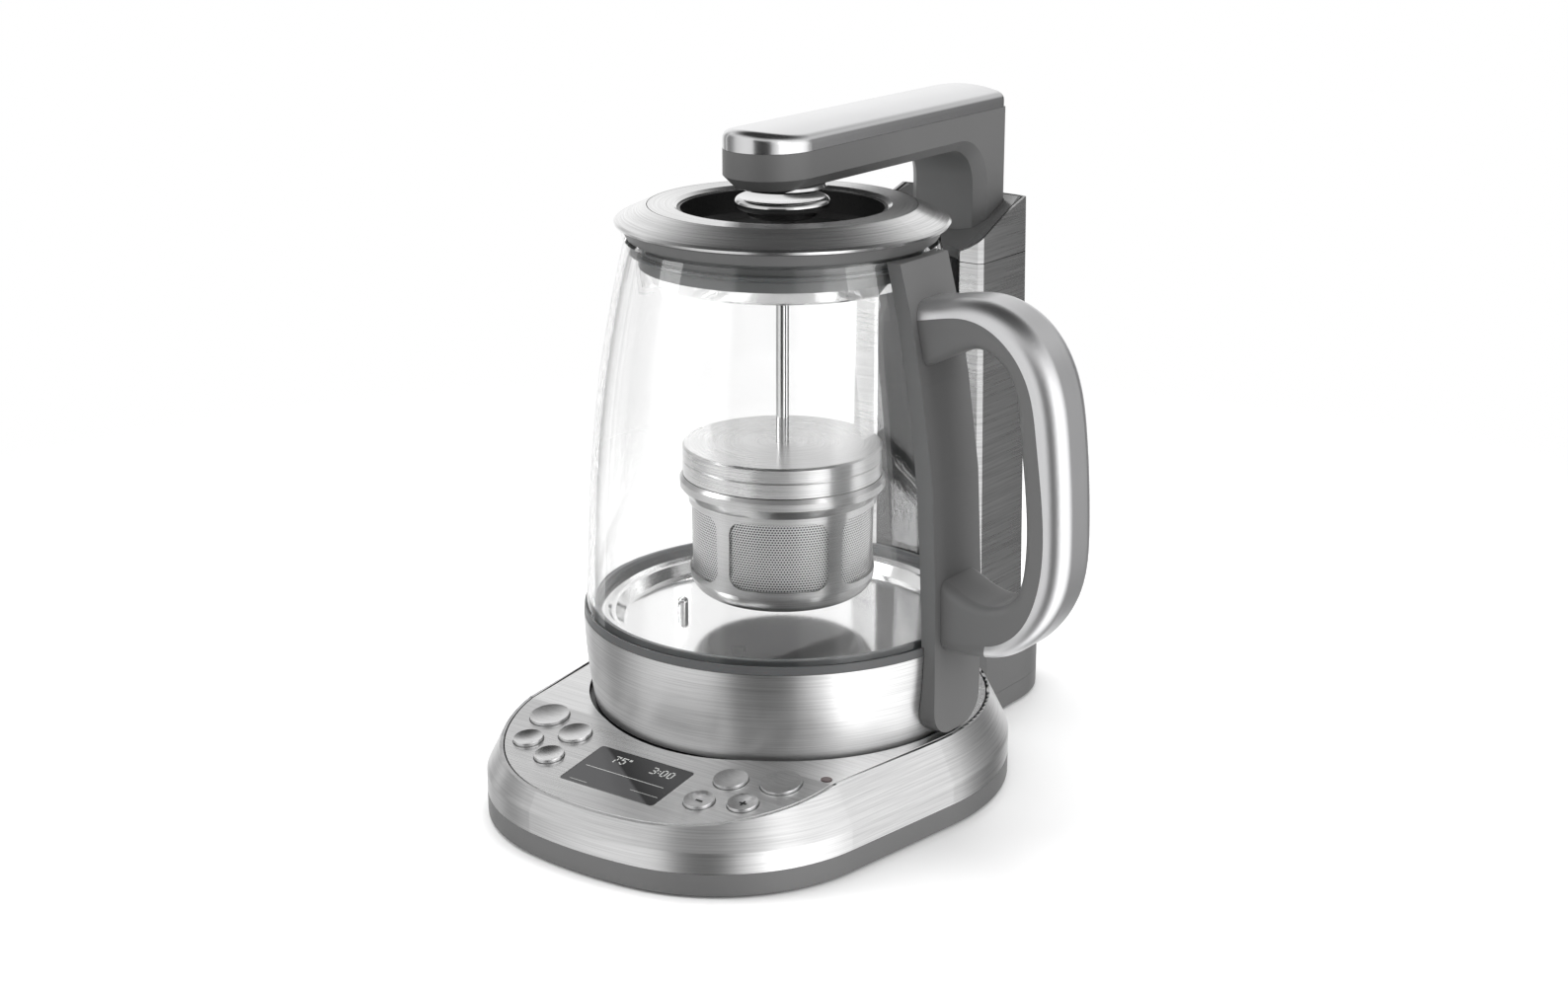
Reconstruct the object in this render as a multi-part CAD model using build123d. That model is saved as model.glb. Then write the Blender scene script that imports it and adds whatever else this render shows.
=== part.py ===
from build123d import *
import os
from math import atan, cos, degrees, radians, sin, sqrt, tan

os.makedirs("parts", exist_ok=True)

# An automatic tea maker: a powered base with a lift tower behind, a glass jug that stands on the
# base, and an infuser basket on a rod that the tower's arm raises out of the water.
# Millimetres. The origin is where the jug's axis meets the table. +Z is up, the control panel is
# at -Y, the tower at +Y, the jug's handle at +X and its spout at -X.

# ---- clearances -----------------------------------------------------------------------------
GAP = 0.3              # open gap between pieces that move or that are only neighbours
JOIN = 0.1             # gap between pieces of one assembly that seat on each other
RUN = 0.1              # radial running clearance of a shaft in its bore

# ---- travels --------------------------------------------------------------------------------
BUTTON_TRAVEL = 0.8

# ---- base -----------------------------------------------------------------------------------
BASE_REAR_R = 87.8     # rear half of the base, about the jug's axis
BASE_SIDE_ANGLE = 8.4  # degrees that each side tapers towards the front
BASE_CORNER_R = 66.0
BASE_BOW_R = 160.0     # the gentle bow of the front edge
BASE_FRONT = 124.0     # front edge, ahead of the axis
SKIRT_BOTTOM = 1.0
SKIRT_TOP = 9.0
SKIRT_WALL = 2.4
TRAY_FLOOR = 2.0
SHELL_WALL = 1.2
CREASE_Z = 17.0        # below it the steel shell stands upright, above it the shell leans in
SHELL_LEAN = 26.6      # degrees from upright
TOP_Z = 32.0           # flat top round the jug
FOLD_Y = -67.0         # ahead of this line the top falls towards the front
PANEL_SLOPE = 0.1536   # fall of the control panel, mm per mm
PANEL_T = 1.5
PANEL_REVEAL = 0.5     # dark line between the panel and the shell's rim
SEAT_R = 74.8          # round opening that the jug stands in
SEAT_Z = 29.4          # floor that the jug stands on
SEAT_T = 2.4
FOOT_R = 6.5
FOOT_RECESS = 0.9
BASE_FEET = ((-52, -88), (52, -88), (-66, 30), (66, 30), (0, 134))
SCREW_R = 1.7
SCREW_HEAD_R = 3.2
SCREW_HEAD_H = 1.6
SCREW_L = 14.0         # shank under the head
BOSS_R = 4.2
BOSS_PITCH_R = 58.0    # circle of the four screw bosses under the seat

# ---- buttons, display and lamp, on the sloping panel ------------------------------------------
BUTTONS = (            # name, x, y, diameter
    ("large_left", -53.9, -75.1, 15.0),
    ("large_right", 53.9, -75.1, 15.0),
    ("medium_left", -36.2, -81.2, 12.6),
    ("medium_right", 36.2, -81.2, 12.6),
    ("outer_left", -49.7, -92.1, 11.2),
    ("plus", 49.7, -92.1, 11.2),
    ("inner_left", -34.7, -97.7, 11.2),
    ("minus", 34.7, -97.7, 11.2),
)
BUTTON_PROUD = 1.7
BUTTON_DISH = 0.5
BUTTON_RIM = 0.8
BUTTON_FLANGE = 0.9    # how far the flange reaches past the hole's edge
BUTTON_FLANGE_T = 1.0
STEM_R = 2.0
STEM_L = 2.0
SWITCH_H = 3.0
SWITCH_W = 6.0
BOARD_T = 1.6
BOARD_W = 115.0
BOARD_D = 30.0
BOARD_Y = -86.0
POWER_W = 64.0         # mains and relay board under the seat
POWER_D = 68.0
POWER_LIFT = 3.0       # its posts' height over the tray's floor
RELAY_H = 13.4
CAPACITOR_R = 5.0
POST_X = 25.3          # posts under the panel that carry the board
POST_YS = (-76.0, -97.0)
POST_R = 2.1
DISPLAY_W = 43.0
DISPLAY_D = 25.1
DISPLAY_Y = -95.3
DISPLAY_CORNER = 1.5
LAMP_X = 66.1
LAMP_Y = -64.7
LAMP_R = 2.0

# ---- 360 degree connector between base and jug -------------------------------------------------
PLUG_R = 13.0
PLUG_TOP = 39.0
PLUG_RING_R = 8.0
PLUG_FLANGE_R = 19.0
SOCKET_WALL = 4.0
SOCKET_TOP = 50.0

# ---- tower ----------------------------------------------------------------------------------
TOWER_HALF_LOW = 33.1  # half width at the table
TOWER_HALF_HIGH = 29.3 # half width at the height below
TOWER_HIGH_Z = 211.0
TOWER_FRONT = 92.0
TOWER_SIDE_END = 125.3 # where the flat side ends and the rear corner begins
TOWER_CORNER = 12.5    # how far in the rear corner reaches
TOWER_CORNER_Y = 138.0 # where the rear corner meets the bowed back
TOWER_BULGE = 1.6      # how far the rear corner is rounded out
TOWER_BACK = 141.0
TOWER_BEVEL = 1.7
INSET_TURN = 0.3       # how far a rear corner's ends slide along the sides, mm per mm of inset
WRAP_WALL = 1.2
BACK_WALL = 2.0
NICHE_R = 26.0         # round channel down the tower's front
NICHE_Y = 75.0         # its axis
PLINTH_HALF = 42.6     # plinth under the tower, wider than the tower all round
PLINTH_FRONT = 79.5
PLINTH_SIDE_END = 108.0
PLINTH_CORNER = 16.0
PLINTH_CORNER_Y = 144.5
PLINTH_BULGE = 5.0
PLINTH_BACK = 148.5
PLINTH_BEVEL = 2.8
PLINTH_TOP = 36.0
PLINTH_EDGE = 3.0      # rounded upper edge of the plinth
WRAP_LOW = PLINTH_TOP + 0.3
SEAM_Z = 186.0         # seam between the wrap and its top trim
TRIM_FRONT_Z = 197.8   # top edge of the trim at the front
TRIM_RISE = 0.31       # rise of that edge towards the back, mm per mm
TRIM_FALL = 0.18       # its fall behind the rear corners, mm per mm
TROUGH_R = 55.0        # dished top of the collar
TROUGH_RISE = 0.44
TROUGH_Z = 191.2
COLLAR_WALL = 3.0
SLEEVE_LOW = 178.0     # lower end of the collar's guide sleeve
SLEEVE_WALL = 2.0
INLET_R = 5.0          # hole for the mains lead's grommet
INLET_Z = 20.0

# ---- arm ------------------------------------------------------------------------------------
ARM_HALF = 17.5
NOSE_Y = -6.0          # centre of the round nose
NOSE_REACH = 19.5
ARM_REAR = 129.4
ARM_SIDE_H = 13.9      # grey side of the arm
ARM_CAP_H = 8.0
ARM_CHAMFER = 4.2
CROWN_R = 60.0
CAP_EDGE_R = 3.6       # rounding between the cap's sides and its top
CAP_CORNER_R = 4.0
POST_FRONT = 110.8
POST_LOW = 122.0
POST_WALL = 2.4
REAR_CORNER_R = 2.5
INNER_CORNER_R = 16.0
COUPLER_R = 16.2
COUPLER_H = 1.8        # how far the ring stands below the arm
COUPLER_GAP = 3.2      # open gap between the ring and the knob
MAGNET_R = 9.5
MAGNET_H = 8.0

# ---- lift drive inside the tower ----------------------------------------------------------------
SCREW_Y = 120.1        # axis of the lead screw
LEAD_R = 3.5
LEAD_TOP = 177.0
MOTOR_R = 12.0
MOTOR_TOP = 48.0
GEARBOX_TOP = 60.0
FRAME_T = 4.0
ROD_X = 21.3
ROD_R = 3.0
CARRIAGE_H = 12.0
NUT_R = 6.5
NUT_FLANGE_R = 9.0

# ---- jug ------------------------------------------------------------------------------------
GLASS_T = 2.8
GLASS_LOW = 66.2
GLASS_TOP = 208.5
GLASS_PROFILE = (      # outer radius, height
    (75.0, GLASS_LOW), (73.8, 96.0), (71.3, 133.0), (66.2, 171.0), (58.2, GLASS_TOP),
)
SPOUT_REACH = 78.0
SPOUT_LOW_REACH = 70.0
SPOUT_LOW = 179.0
SPOUT_HALF = 15.0
SPOUT_LOW_HALF = 5.0
SPOUT_TIP_R = 3.0
BAND_LOW_R = 72.3
BAND_LOW = 30.4
BAND_MID_R = 75.0
BAND_HIGH_R = 76.0
BAND_HIGH = 65.3
BAND_WALL = 1.0
GASKET_TOP = 68.4
GASKET_IN_TOP = 69.8
GASKET_IN_R = 69.6
GASKET_LIP = 0.9
PLATE_Z = 61.5         # cooking floor of the jug
PLATE_T = 1.0
PLATE_RIM_R = 69.2
PLATE_RIM_Z = 66.5
PLATE_STEP_R = 65.5
PLATE_FLAT_R = 61.0
ELEMENT_R = 48.0
ELEMENT_TUBE_R = 4.0
PROBE_X = -32.0
PROBE_Y = -21.0
PROBE_R = 2.0
PROBE_TOP = 68.0
COVER_T = 2.0
COVER_FOOT_IN = 54.0
COVER_FOOT_OUT = 64.0

# ---- handle ---------------------------------------------------------------------------------
BRACKET_HALF = 15.5
BRACKET_LOW = 33.6
BRACKET_TOP = 208.4
BRACKET_OUTLINE = (    # outer face, x and z, from the bottom up
    (79.5, BRACKET_LOW), (79.5, 55.0), (79.0, 90.0), (76.9, 130.0), (71.8, 165.0),
    (66.4, 192.0), (62.0, BRACKET_TOP),
)
BRACKET_END_R = 11.0
HANDLE_HALF = 12.2
GRIP_ROUND = 3.5       # rounding of the grip's inner edges
SHELL_ROUND = 7.0      # rounding of the metal shell's outer edges
HANDLE_OUTER = (       # outer curve of the handle, x and z, from the top round to the bottom
    (60.0, 194.4), (74.0, 196.2), (91.0, 198.0), (107.5, 192.2), (120.2, 176.5), (126.0, 152.0),
    (128.3, 120.0), (126.2, 95.0), (117.3, 79.0), (104.0, 69.0), (90.0, 66.2), (60.0, 66.0),
)
HANDLE_SPLIT = (       # joint between the metal shell and the grip
    (60.0, 187.6), (73.0, 189.6), (89.0, 191.2), (103.0, 184.4), (112.5, 171.0), (116.6, 152.0),
    (120.1, 124.0), (119.0, 99.0), (111.5, 81.5), (98.0, 73.2),
)
HANDLE_INNER = (       # inner curve of the grip
    (60.0, 171.5), (76.0, 174.6), (93.0, 181.0), (104.0, 173.5), (108.2, 159.0),
    (111.4, 134.0), (112.2, 106.0), (107.6, 92.0), (97.0, 87.4), (81.0, 92.6), (60.0, 96.5),
)
HANDLE_SCREW_HIGH = 184.0
HANDLE_SCREW_LOW = 80.0
HANDLE_SCREW_L = 13.0

# ---- lid, from the mouth of the glass upwards and downwards ---------------------------------------
LID_UNDER_Z = GLASS_TOP + 1.0
LID_TOP = LID_UNDER_Z + 11.7
LID_JOINT_R = 49.85    # joint between the outer rim and the inner ring
LID_RIM_R = 61.9
LID_RIM_Z = LID_TOP - 5.9
LID_WELL_R = 40.35
WELL_FLOOR = LID_TOP - 11.7
LID_SKIN = 1.4
STOPPER_R = 53.0
STOPPER_LOW = GLASS_TOP - 9.5
SEAL_Z = GLASS_TOP - 4.9
PAN_R = 52.0
PAN_LOW_R = 50.0
PAN_LOW = STOPPER_LOW - 5.2
PAN_T = 0.8
BUSH_R = 5.0
BUSH_LOW = PAN_LOW - 3.8
BUSH_PROUD = 2.2       # bush above the well's floor

# ---- infuser basket ---------------------------------------------------------------------------
KNOB_R = 17.7
KNOB_TOP = LID_TOP + 2.6
KNOB_H = 4.4
KNOB_DISH = 1.6
KNOB_RIM = 1.6
KNOB_NECK_R = 4.5
KNOB_COLLAR_R = 13.0
KNOB_LOW = KNOB_TOP - 7.2
ROD_RADIUS = 2.4
CAP_R = 37.7
CAP_TOP = 130.5
CAP_LOW = 119.2
CAP_WALL = 1.0
CAP_GROOVE_Z = 124.8
CAP_BOSS_R = 6.0
CAP_BOSS_LOW = 123.0
CUP_R = 35.7
CUP_WALL = 1.0
CUP_BEAD_R = 38.9
CUP_BEAD_TOP = 118.9
CUP_BEAD_LOW = 113.2
CUP_FLARE = 2.5        # height of the flare under the bead
CUP_NECK_R = 35.3
CUP_NECK_TOP = 124.4
CUP_FLOOR = 72.6
CUP_LOW_R = 32.9
CUP_FOOT_R = 7.0
CUP_TAPER = 0.6        # narrowing of the cup's wall down to its foot
LUG_COUNT = 3
LUG_ANGLE = 22.0
CUP_LUG_Z = 121.6
CUP_LUG_H = 1.6
CAP_LUG_Z = 119.5
CAP_LUG_H = 1.7
WINDOW_COUNT = 5
WINDOW_ANGLE = 62.0
WINDOW_LOW = 82.0
WINDOW_TOP = 108.4
WINDOW_CORNER = 5.0
WINDOW_TURN = -56.5    # bearing of the first window's middle
MESH_T = 0.4
MESH_LAP = 2.0         # how far the screen laps past the windows

# ---- heights of the arm, above the knob -----------------------------------------------------------
COUPLER_Z = KNOB_TOP + COUPLER_GAP
ARM_UNDER = COUPLER_Z + COUPLER_H
ARM_SPLIT = ARM_UNDER + ARM_SIDE_H   # joint between housing and cap
ARM_TOP = ARM_SPLIT + ARM_CAP_H


# ---- drawing helpers ---------------------------------------------------------------------------
def face_xy(*edges):
    """Flat face at the height of the edges."""
    return make_face(edges)


def polygon(points, plane=Plane.XY):
    """Flat face with straight edges through the points, in the plane's own x and y."""
    return plane * make_face(Polyline(*points, close=True))


def prism(face, low, high):
    """A face drawn at height 0, raised from low to high."""
    return Pos(0, 0, low) * extrude(face, high - low, dir=(0, 0, 1))


def across(points, half):
    """Outline in Y and Z, as wide as 2 x half along X."""
    return extrude(polygon(points, Plane.YZ), half, both=True)


def turned(points, angle=360):
    """Solid of revolution about the Z axis from radius and height points."""
    return revolve(polygon(points, Plane.XZ), Axis.Z, angle)


def disc(radius, low, high, x=0.0, y=0.0):
    """Upright cylinder."""
    return Pos(x, y, (low + high) / 2) * Cylinder(radius, high - low)


def ring(outer, inner, low, high):
    """Upright tube about the jug's axis."""
    return disc(outer, low, high) - disc(inner, low, high)


def dish(radius, depth, z):
    """Ball that presses a dish of this radius and depth into a face at height z."""
    ball = (radius**2 + depth**2) / (2 * depth)
    return Pos(0, 0, z - depth + ball) * Sphere(ball)


def block(x0, x1, y0, y1, z0, z1):
    """Box between two corners."""
    return Pos((x0 + x1) / 2, (y0 + y1) / 2, (z0 + z1) / 2) * Box(x1 - x0, y1 - y0, z1 - z0)


# ---- base -------------------------------------------------------------------------------------
def base_plan(inset):
    """Plan of the base: round rear, tapering sides, round corners and a bowed front."""
    side = radians(BASE_SIDE_ANGLE)
    rear, corner, bow = BASE_REAR_R - inset, BASE_CORNER_R - inset, BASE_BOW_R - inset
    leave = Vector(rear * cos(side), -rear * sin(side))
    inward = Vector(-cos(side), sin(side))
    along = Vector(-sin(side), -cos(side))
    bow_centre = Vector(0, BASE_BOW_R - BASE_FRONT)
    start = leave + inward * corner - bow_centre
    half = start.dot(along)
    run = -half + sqrt(half**2 - start.dot(start) + (bow - corner) ** 2)
    centre = leave + inward * corner + along * run
    out = (centre - bow_centre).normalized()
    side_end = leave + along * run
    middle = centre + (out - inward).normalized() * corner
    front_end = centre + out * corner

    def other(point):
        return Vector(-point.X, point.Y)

    return face_xy(
        ThreePointArc(leave, (0, rear), other(leave)),
        Line(other(leave), other(side_end)),
        ThreePointArc(other(side_end), other(middle), other(front_end)),
        ThreePointArc(other(front_end), (0, inset - BASE_FRONT), front_end),
        ThreePointArc(front_end, middle, side_end),
        Line(side_end, leave),
    )


def base_body(inset):
    """Upright to the crease, then leaning in: the outer form of the shell, drawn inwards by inset."""
    high = TOP_Z + 4
    lean = (high - CREASE_Z) * tan(radians(SHELL_LEAN))
    low = prism(base_plan(inset), SKIRT_TOP + JOIN, CREASE_Z)
    crease, upper = Pos(0, 0, CREASE_Z) * base_plan(inset), Pos(0, 0, high) * base_plan(inset + lean)
    top = loft([crease, upper], ruled=True)
    return low + top


def panel_z(y):
    """Height of the base's top surface at y."""
    return TOP_Z + min(0.0, (y - FOLD_Y) * PANEL_SLOPE)


def above_top(drop):
    """Everything above the top surface after lowering it by drop."""
    ahead, behind, sky = -BASE_FRONT - 10, 100.0, TOP_Z + 30
    points = ((ahead, panel_z(ahead) - drop), (FOLD_Y, TOP_Z - drop), (behind, TOP_Z - drop))
    return across(points + ((behind, sky), (ahead, sky)), BASE_REAR_R + 10)


def on_panel(x, y):
    """Location on the sloping panel, with its own Z along the panel's normal."""
    return Location((x, y, TOP_Z + (y - FOLD_Y) * PANEL_SLOPE), (degrees(atan(PANEL_SLOPE)), 0, 0))


def bowed_plan(half, front, bevel, side_end, turn, turn_y, back, bulge):
    """Plan with bevelled front corners, flat sides, rounded rear corners and a bowed back."""
    out = bulge * sqrt(0.5)
    middle, middle_y = (half + turn) / 2 + out, (side_end + turn_y) / 2 + out
    return face_xy(
        Line((bevel - half, front), (half - bevel, front)),
        Line((half - bevel, front), (half, front + bevel)),
        Line((half, front + bevel), (half, side_end)),
        ThreePointArc((half, side_end), (middle, middle_y), (turn, turn_y)),
        ThreePointArc((turn, turn_y), (0, back), (-turn, turn_y)),
        ThreePointArc((-turn, turn_y), (-middle, middle_y), (-half, side_end)),
        Line((-half, side_end), (-half, front + bevel)),
        Line((-half, front + bevel), (bevel - half, front)),
    )


def tower_plan(z, inset):
    """Plan of the tower at height z, drawn inwards by inset."""
    half = TOWER_HALF_LOW + (TOWER_HALF_HIGH - TOWER_HALF_LOW) * z / TOWER_HIGH_Z - inset
    turn, side_end = half - TOWER_CORNER + INSET_TURN * inset, TOWER_SIDE_END - INSET_TURN * inset
    rear, back = TOWER_CORNER_Y - inset, TOWER_BACK - inset
    plan = bowed_plan(half, TOWER_FRONT + inset, TOWER_BEVEL, side_end, turn, rear, back, TOWER_BULGE)
    return Pos(0, 0, z) * plan


def plinth(inset, low, high):
    """Stretch of the plinth's upright outer form, drawn inwards by inset."""
    half = PLINTH_HALF - inset
    turn, side_end = half - PLINTH_CORNER + INSET_TURN * inset, PLINTH_SIDE_END - INSET_TURN * inset
    rear, back = PLINTH_CORNER_Y - inset, PLINTH_BACK - inset
    front = PLINTH_FRONT + inset
    plan = bowed_plan(half, front, PLINTH_BEVEL, side_end, turn, rear, back, PLINTH_BULGE)
    return prism(plan, low, high)


def tower_solid(inset, low, high):
    """Stretch of the tower's outer form, drawn inwards by inset."""
    return loft([tower_plan(low, inset), tower_plan(high, inset)], ruled=True)


def tower_shell(wall, low, high):
    """Open tube with the tower's outer form."""
    return tower_solid(0, low, high) - tower_solid(wall, low - 1, high + 1)


def niche(clearance=0.0):
    """Round channel down the tower's front, behind the jug."""
    return disc(NICHE_R + clearance, 0, TOWER_HIGH_Z + 20, 0, NICHE_Y)


def behind_seam(shift):
    """Everything behind the joint between the steel wrap and the back cover."""
    wide, seam = TOWER_HALF_LOW + 10, TOWER_SIDE_END + shift
    return block(-wide, wide, seam, TOWER_BACK + 20, -5, TOWER_HIGH_Z + 30)


def base_tray():
    """Moulded tray: floor, skirt wall, foot recesses and screw holes."""
    whole = prism(base_plan(0), SKIRT_BOTTOM, SKIRT_TOP) + plinth(0, SKIRT_BOTTOM, SKIRT_TOP)
    floor_top = SKIRT_BOTTOM + TRAY_FLOOR
    room = prism(base_plan(SKIRT_WALL), floor_top, SKIRT_TOP + 1)
    tower_room = plinth(SKIRT_WALL, floor_top, SKIRT_TOP + 1)
    tray = whole - room - tower_room
    for x, y in BASE_FEET:
        tray -= disc(FOOT_R + JOIN, 0, SKIRT_BOTTOM + FOOT_RECESS, x, y)
    for place in PolarLocations(BOSS_PITCH_R, 4, 45):
        tray -= place * disc(SCREW_R + JOIN, 0, floor_top + 1)
        tray -= place * disc(SCREW_HEAD_R + JOIN, 0, SKIRT_BOTTOM + SCREW_HEAD_H)
    return tray


def rubber_feet():
    """Five pads under the tray."""
    return [disc(FOOT_R, 0, SKIRT_BOTTOM + FOOT_RECESS, x, y) for x, y in BASE_FEET]


def base_screws():
    """Four screws from under the tray into the seat's bosses."""
    low = SKIRT_BOTTOM + SCREW_HEAD_H
    screw = disc(SCREW_HEAD_R, SKIRT_BOTTOM, low) + disc(SCREW_R, low, low + SCREW_L)
    return [place * screw for place in PolarLocations(BOSS_PITCH_R, 4, 45)]


def base_shell():
    """Pressed steel shell: a wall that stands on the tray and leans in to the top."""
    shell = base_body(0) - base_body(SHELL_WALL)
    return shell - above_top(0) - plinth(-GAP, 0, TOP_Z + 20)


def button_hole(x, y, diameter):
    """Clearance hole through the panel for one button."""
    return on_panel(x, y) * Cylinder(diameter / 2 + GAP, 4 * PANEL_T)


def display_cut(clearance, low, high):
    """Rounded rectangle of the display, from low to high above the panel's surface."""
    shape = RectangleRounded(DISPLAY_W + 2 * clearance, DISPLAY_D + 2 * clearance, DISPLAY_CORNER)
    return on_panel(0, DISPLAY_Y) * Pos(0, 0, low) * extrude(shape, high - low)


def control_panel():
    """Inset top plate with the jug's opening and the holes for buttons, display and lamp."""
    plate = base_body(SHELL_WALL + PANEL_REVEAL) & (above_top(PANEL_T) - above_top(0))
    plate -= disc(SEAT_R, 0, TOP_Z + 20)
    plate -= plinth(-GAP, 0, TOP_Z + 20)
    plate -= display_cut(JOIN, -3 * PANEL_T, 3 * PANEL_T)
    plate -= disc(LAMP_R + JOIN, 0, TOP_Z + 20, LAMP_X, LAMP_Y)
    for name, x, y, diameter in BUTTONS:
        plate -= button_hole(x, y, diameter)
    low = board_top() + JOIN
    for x in (-POST_X, POST_X):
        for y in POST_YS:
            post = Pos(0, 0, (low - PANEL_T / 2) / 2) * Cylinder(POST_R, -PANEL_T / 2 - low)
            plate += on_panel(x, y) * post
    return plate


def seat_plate():
    """Black plate under the jug, with four screw bosses and the hole for the plug."""
    low = SEAT_Z - SEAT_T
    plate = disc(SEAT_R - GAP, low, SEAT_Z)
    boss = disc(BOSS_R, SKIRT_BOTTOM + TRAY_FLOOR + GAP, low)
    for place in PolarLocations(BOSS_PITCH_R, 4, 45):
        plate += place * boss
    for place in PolarLocations(BOSS_PITCH_R, 4, 45):
        plate -= place * disc(SCREW_R + JOIN, 0, SKIRT_BOTTOM + SCREW_HEAD_H + SCREW_L + 1.5)
    return plate - disc(PLUG_R + JOIN, 0, SEAT_Z + 5)


def lower_connector():
    """Round plug that the jug lowers onto from any side, with its ring slot."""
    low = SEAT_Z - SEAT_T
    flange = disc(PLUG_FLANGE_R, low - 3, low - JOIN)
    post = disc(PLUG_R, low - 3, PLUG_TOP)
    slot = ring(PLUG_RING_R + 1.2, PLUG_RING_R - 1.2, PLUG_TOP - 6, PLUG_TOP + 1)
    return flange + post - slot


def button(diameter):
    """Round key with a rolled rim and a dished face, a flange that keeps it in, and a stem."""
    radius = diameter / 2
    under = -PANEL_T - GAP
    flange_low = under - BUTTON_FLANGE_T
    shoulder = BUTTON_PROUD - BUTTON_RIM
    outline = make_face(
        [
            Polyline(
                (radius - 2 * BUTTON_RIM, shoulder), (0, shoulder), (0, flange_low - STEM_L),
                (STEM_R, flange_low - STEM_L), (STEM_R, flange_low), (radius + BUTTON_FLANGE, flange_low),
                (radius + BUTTON_FLANGE, under), (radius, under), (radius, shoulder),
            ),
            ThreePointArc(
                (radius, shoulder), (radius - BUTTON_RIM, BUTTON_PROUD), (radius - 2 * BUTTON_RIM, shoulder)
            ),
        ]
    )
    face_radius = radius - 2 * BUTTON_RIM
    return revolve(Plane.XZ * outline, Axis.Z) - dish(face_radius, BUTTON_DISH, shoulder)


def placed_button(x, y, diameter):
    """One key in its hole."""
    return on_panel(x, y) * button(diameter)


def board_top():
    """Depth of the circuit board's upper face below the panel's surface."""
    return stem_end() - BUTTON_TRAVEL - JOIN - SWITCH_H


def stem_end():
    """Depth of a key's stem end below the panel's surface."""
    return -PANEL_T - GAP - BUTTON_FLANGE_T - STEM_L


def control_board():
    """Circuit board under the panel, parallel to it, with one small switch under each stem."""
    top = board_top()
    board = on_panel(0, BOARD_Y) * Pos(0, 0, top - BOARD_T / 2) * Box(BOARD_W, BOARD_D, BOARD_T)
    switch = Pos(0, 0, top + SWITCH_H / 2) * Box(SWITCH_W, SWITCH_W, SWITCH_H)
    for name, x, y, diameter in BUTTONS:
        board += on_panel(x, y) * switch
    return board


def display_window():
    """Dark lens flush with the panel."""
    return display_cut(0, -PANEL_T, -0.1)


def lamp_lens():
    """Small domed lens of the keep-warm lamp."""
    return disc(LAMP_R, TOP_Z - 3, TOP_Z + 0.3, LAMP_X, LAMP_Y)


def power_board():
    """Mains and relay board on the tray's floor, under the seat."""
    low = SKIRT_BOTTOM + TRAY_FLOOR
    half_w, half_d, top = POWER_W / 2, POWER_D / 2, low + POWER_LIFT + BOARD_T
    board = block(-half_w, half_w, -half_d, half_d, low + POWER_LIFT, top)
    relay = block(-24, -4, 4, 22, top, top + RELAY_H)
    capacitor = disc(CAPACITOR_R, top, top + RELAY_H - 2, 14, 8)
    for x in (4 - half_w, half_w - 4):
        for y in (4 - half_d, half_d - 4):
            board += disc(POST_R, low, low + POWER_LIFT, x, y)
    return board + relay + capacitor


# ---- tower ------------------------------------------------------------------------------------
def trim_cut(drop):
    """Everything above the trim's slanted top edge, lowered by drop."""
    front, peak, back, sky = TOWER_FRONT - 10, TOWER_SIDE_END, TOWER_BACK + 10, TOWER_HIGH_Z + 40
    low = TRIM_FRONT_Z - 10 * TRIM_RISE - drop
    high = TRIM_FRONT_Z + (peak - TOWER_FRONT) * TRIM_RISE - drop
    rear = high - (back - peak) * TRIM_FALL
    points = ((front, low), (peak, high), (back, rear), (back, sky), (front, sky))
    return across(points, TOWER_HALF_LOW + 10)


def trough(drop):
    """Round-bottomed trough that dishes the tower's top and climbs to the back."""
    tilt = degrees(atan(TROUGH_RISE))
    centre_z = TROUGH_Z + TROUGH_R - drop
    bore = Rotation(-90 + tilt, 0, 0) * Cylinder(TROUGH_R, 4 * TROUGH_R)
    return Pos(0, TOWER_FRONT, centre_z) * bore


def wrap_form(low, high):
    """Steel skin on the tower's front and sides, open where the jug stands."""
    return tower_shell(WRAP_WALL, low, high) - behind_seam(0) - niche()


def tower_wrap():
    """Main steel wrap, from the foot to the seam."""
    return wrap_form(WRAP_LOW, SEAM_Z - GAP / 2)


def tower_trim():
    """Top band of the wrap, cut to the slanted edge and the trough."""
    return wrap_form(SEAM_Z + GAP / 2, TOWER_HIGH_Z + 8) - trim_cut(0) - trough(0)


def niche_panel():
    """Curved panel that lines the channel."""
    high = SEAM_Z - GAP / 2
    wall = disc(NICHE_R + WRAP_WALL, WRAP_LOW, high, 0, NICHE_Y) - niche()
    return wall & tower_solid(WRAP_WALL + JOIN, 5, high + 10)


def tower_foot():
    """Grey plinth between the tray and the wrap, closed round the tower's foot."""
    low, high = SKIRT_TOP + JOIN, PLINTH_TOP
    foot = plinth(0, low, high)
    foot = fillet(foot.faces().sort_by(Axis.Z)[-1].edges(), PLINTH_EDGE)
    foot -= plinth(SKIRT_WALL, low + SKIRT_WALL, high - SKIRT_WALL - PLINTH_EDGE)
    foot -= tower_solid(BACK_WALL + WRAP_WALL, low + SKIRT_WALL, high + 1) - niche(2 * WRAP_WALL)
    foot -= disc(MOTOR_R + GAP, 0, high, 0, SCREW_Y)
    inlet = Pos(0, PLINTH_BACK, INLET_Z) * Rotation(90, 0, 0) * Cylinder(INLET_R, 20)
    return foot - inlet


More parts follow.
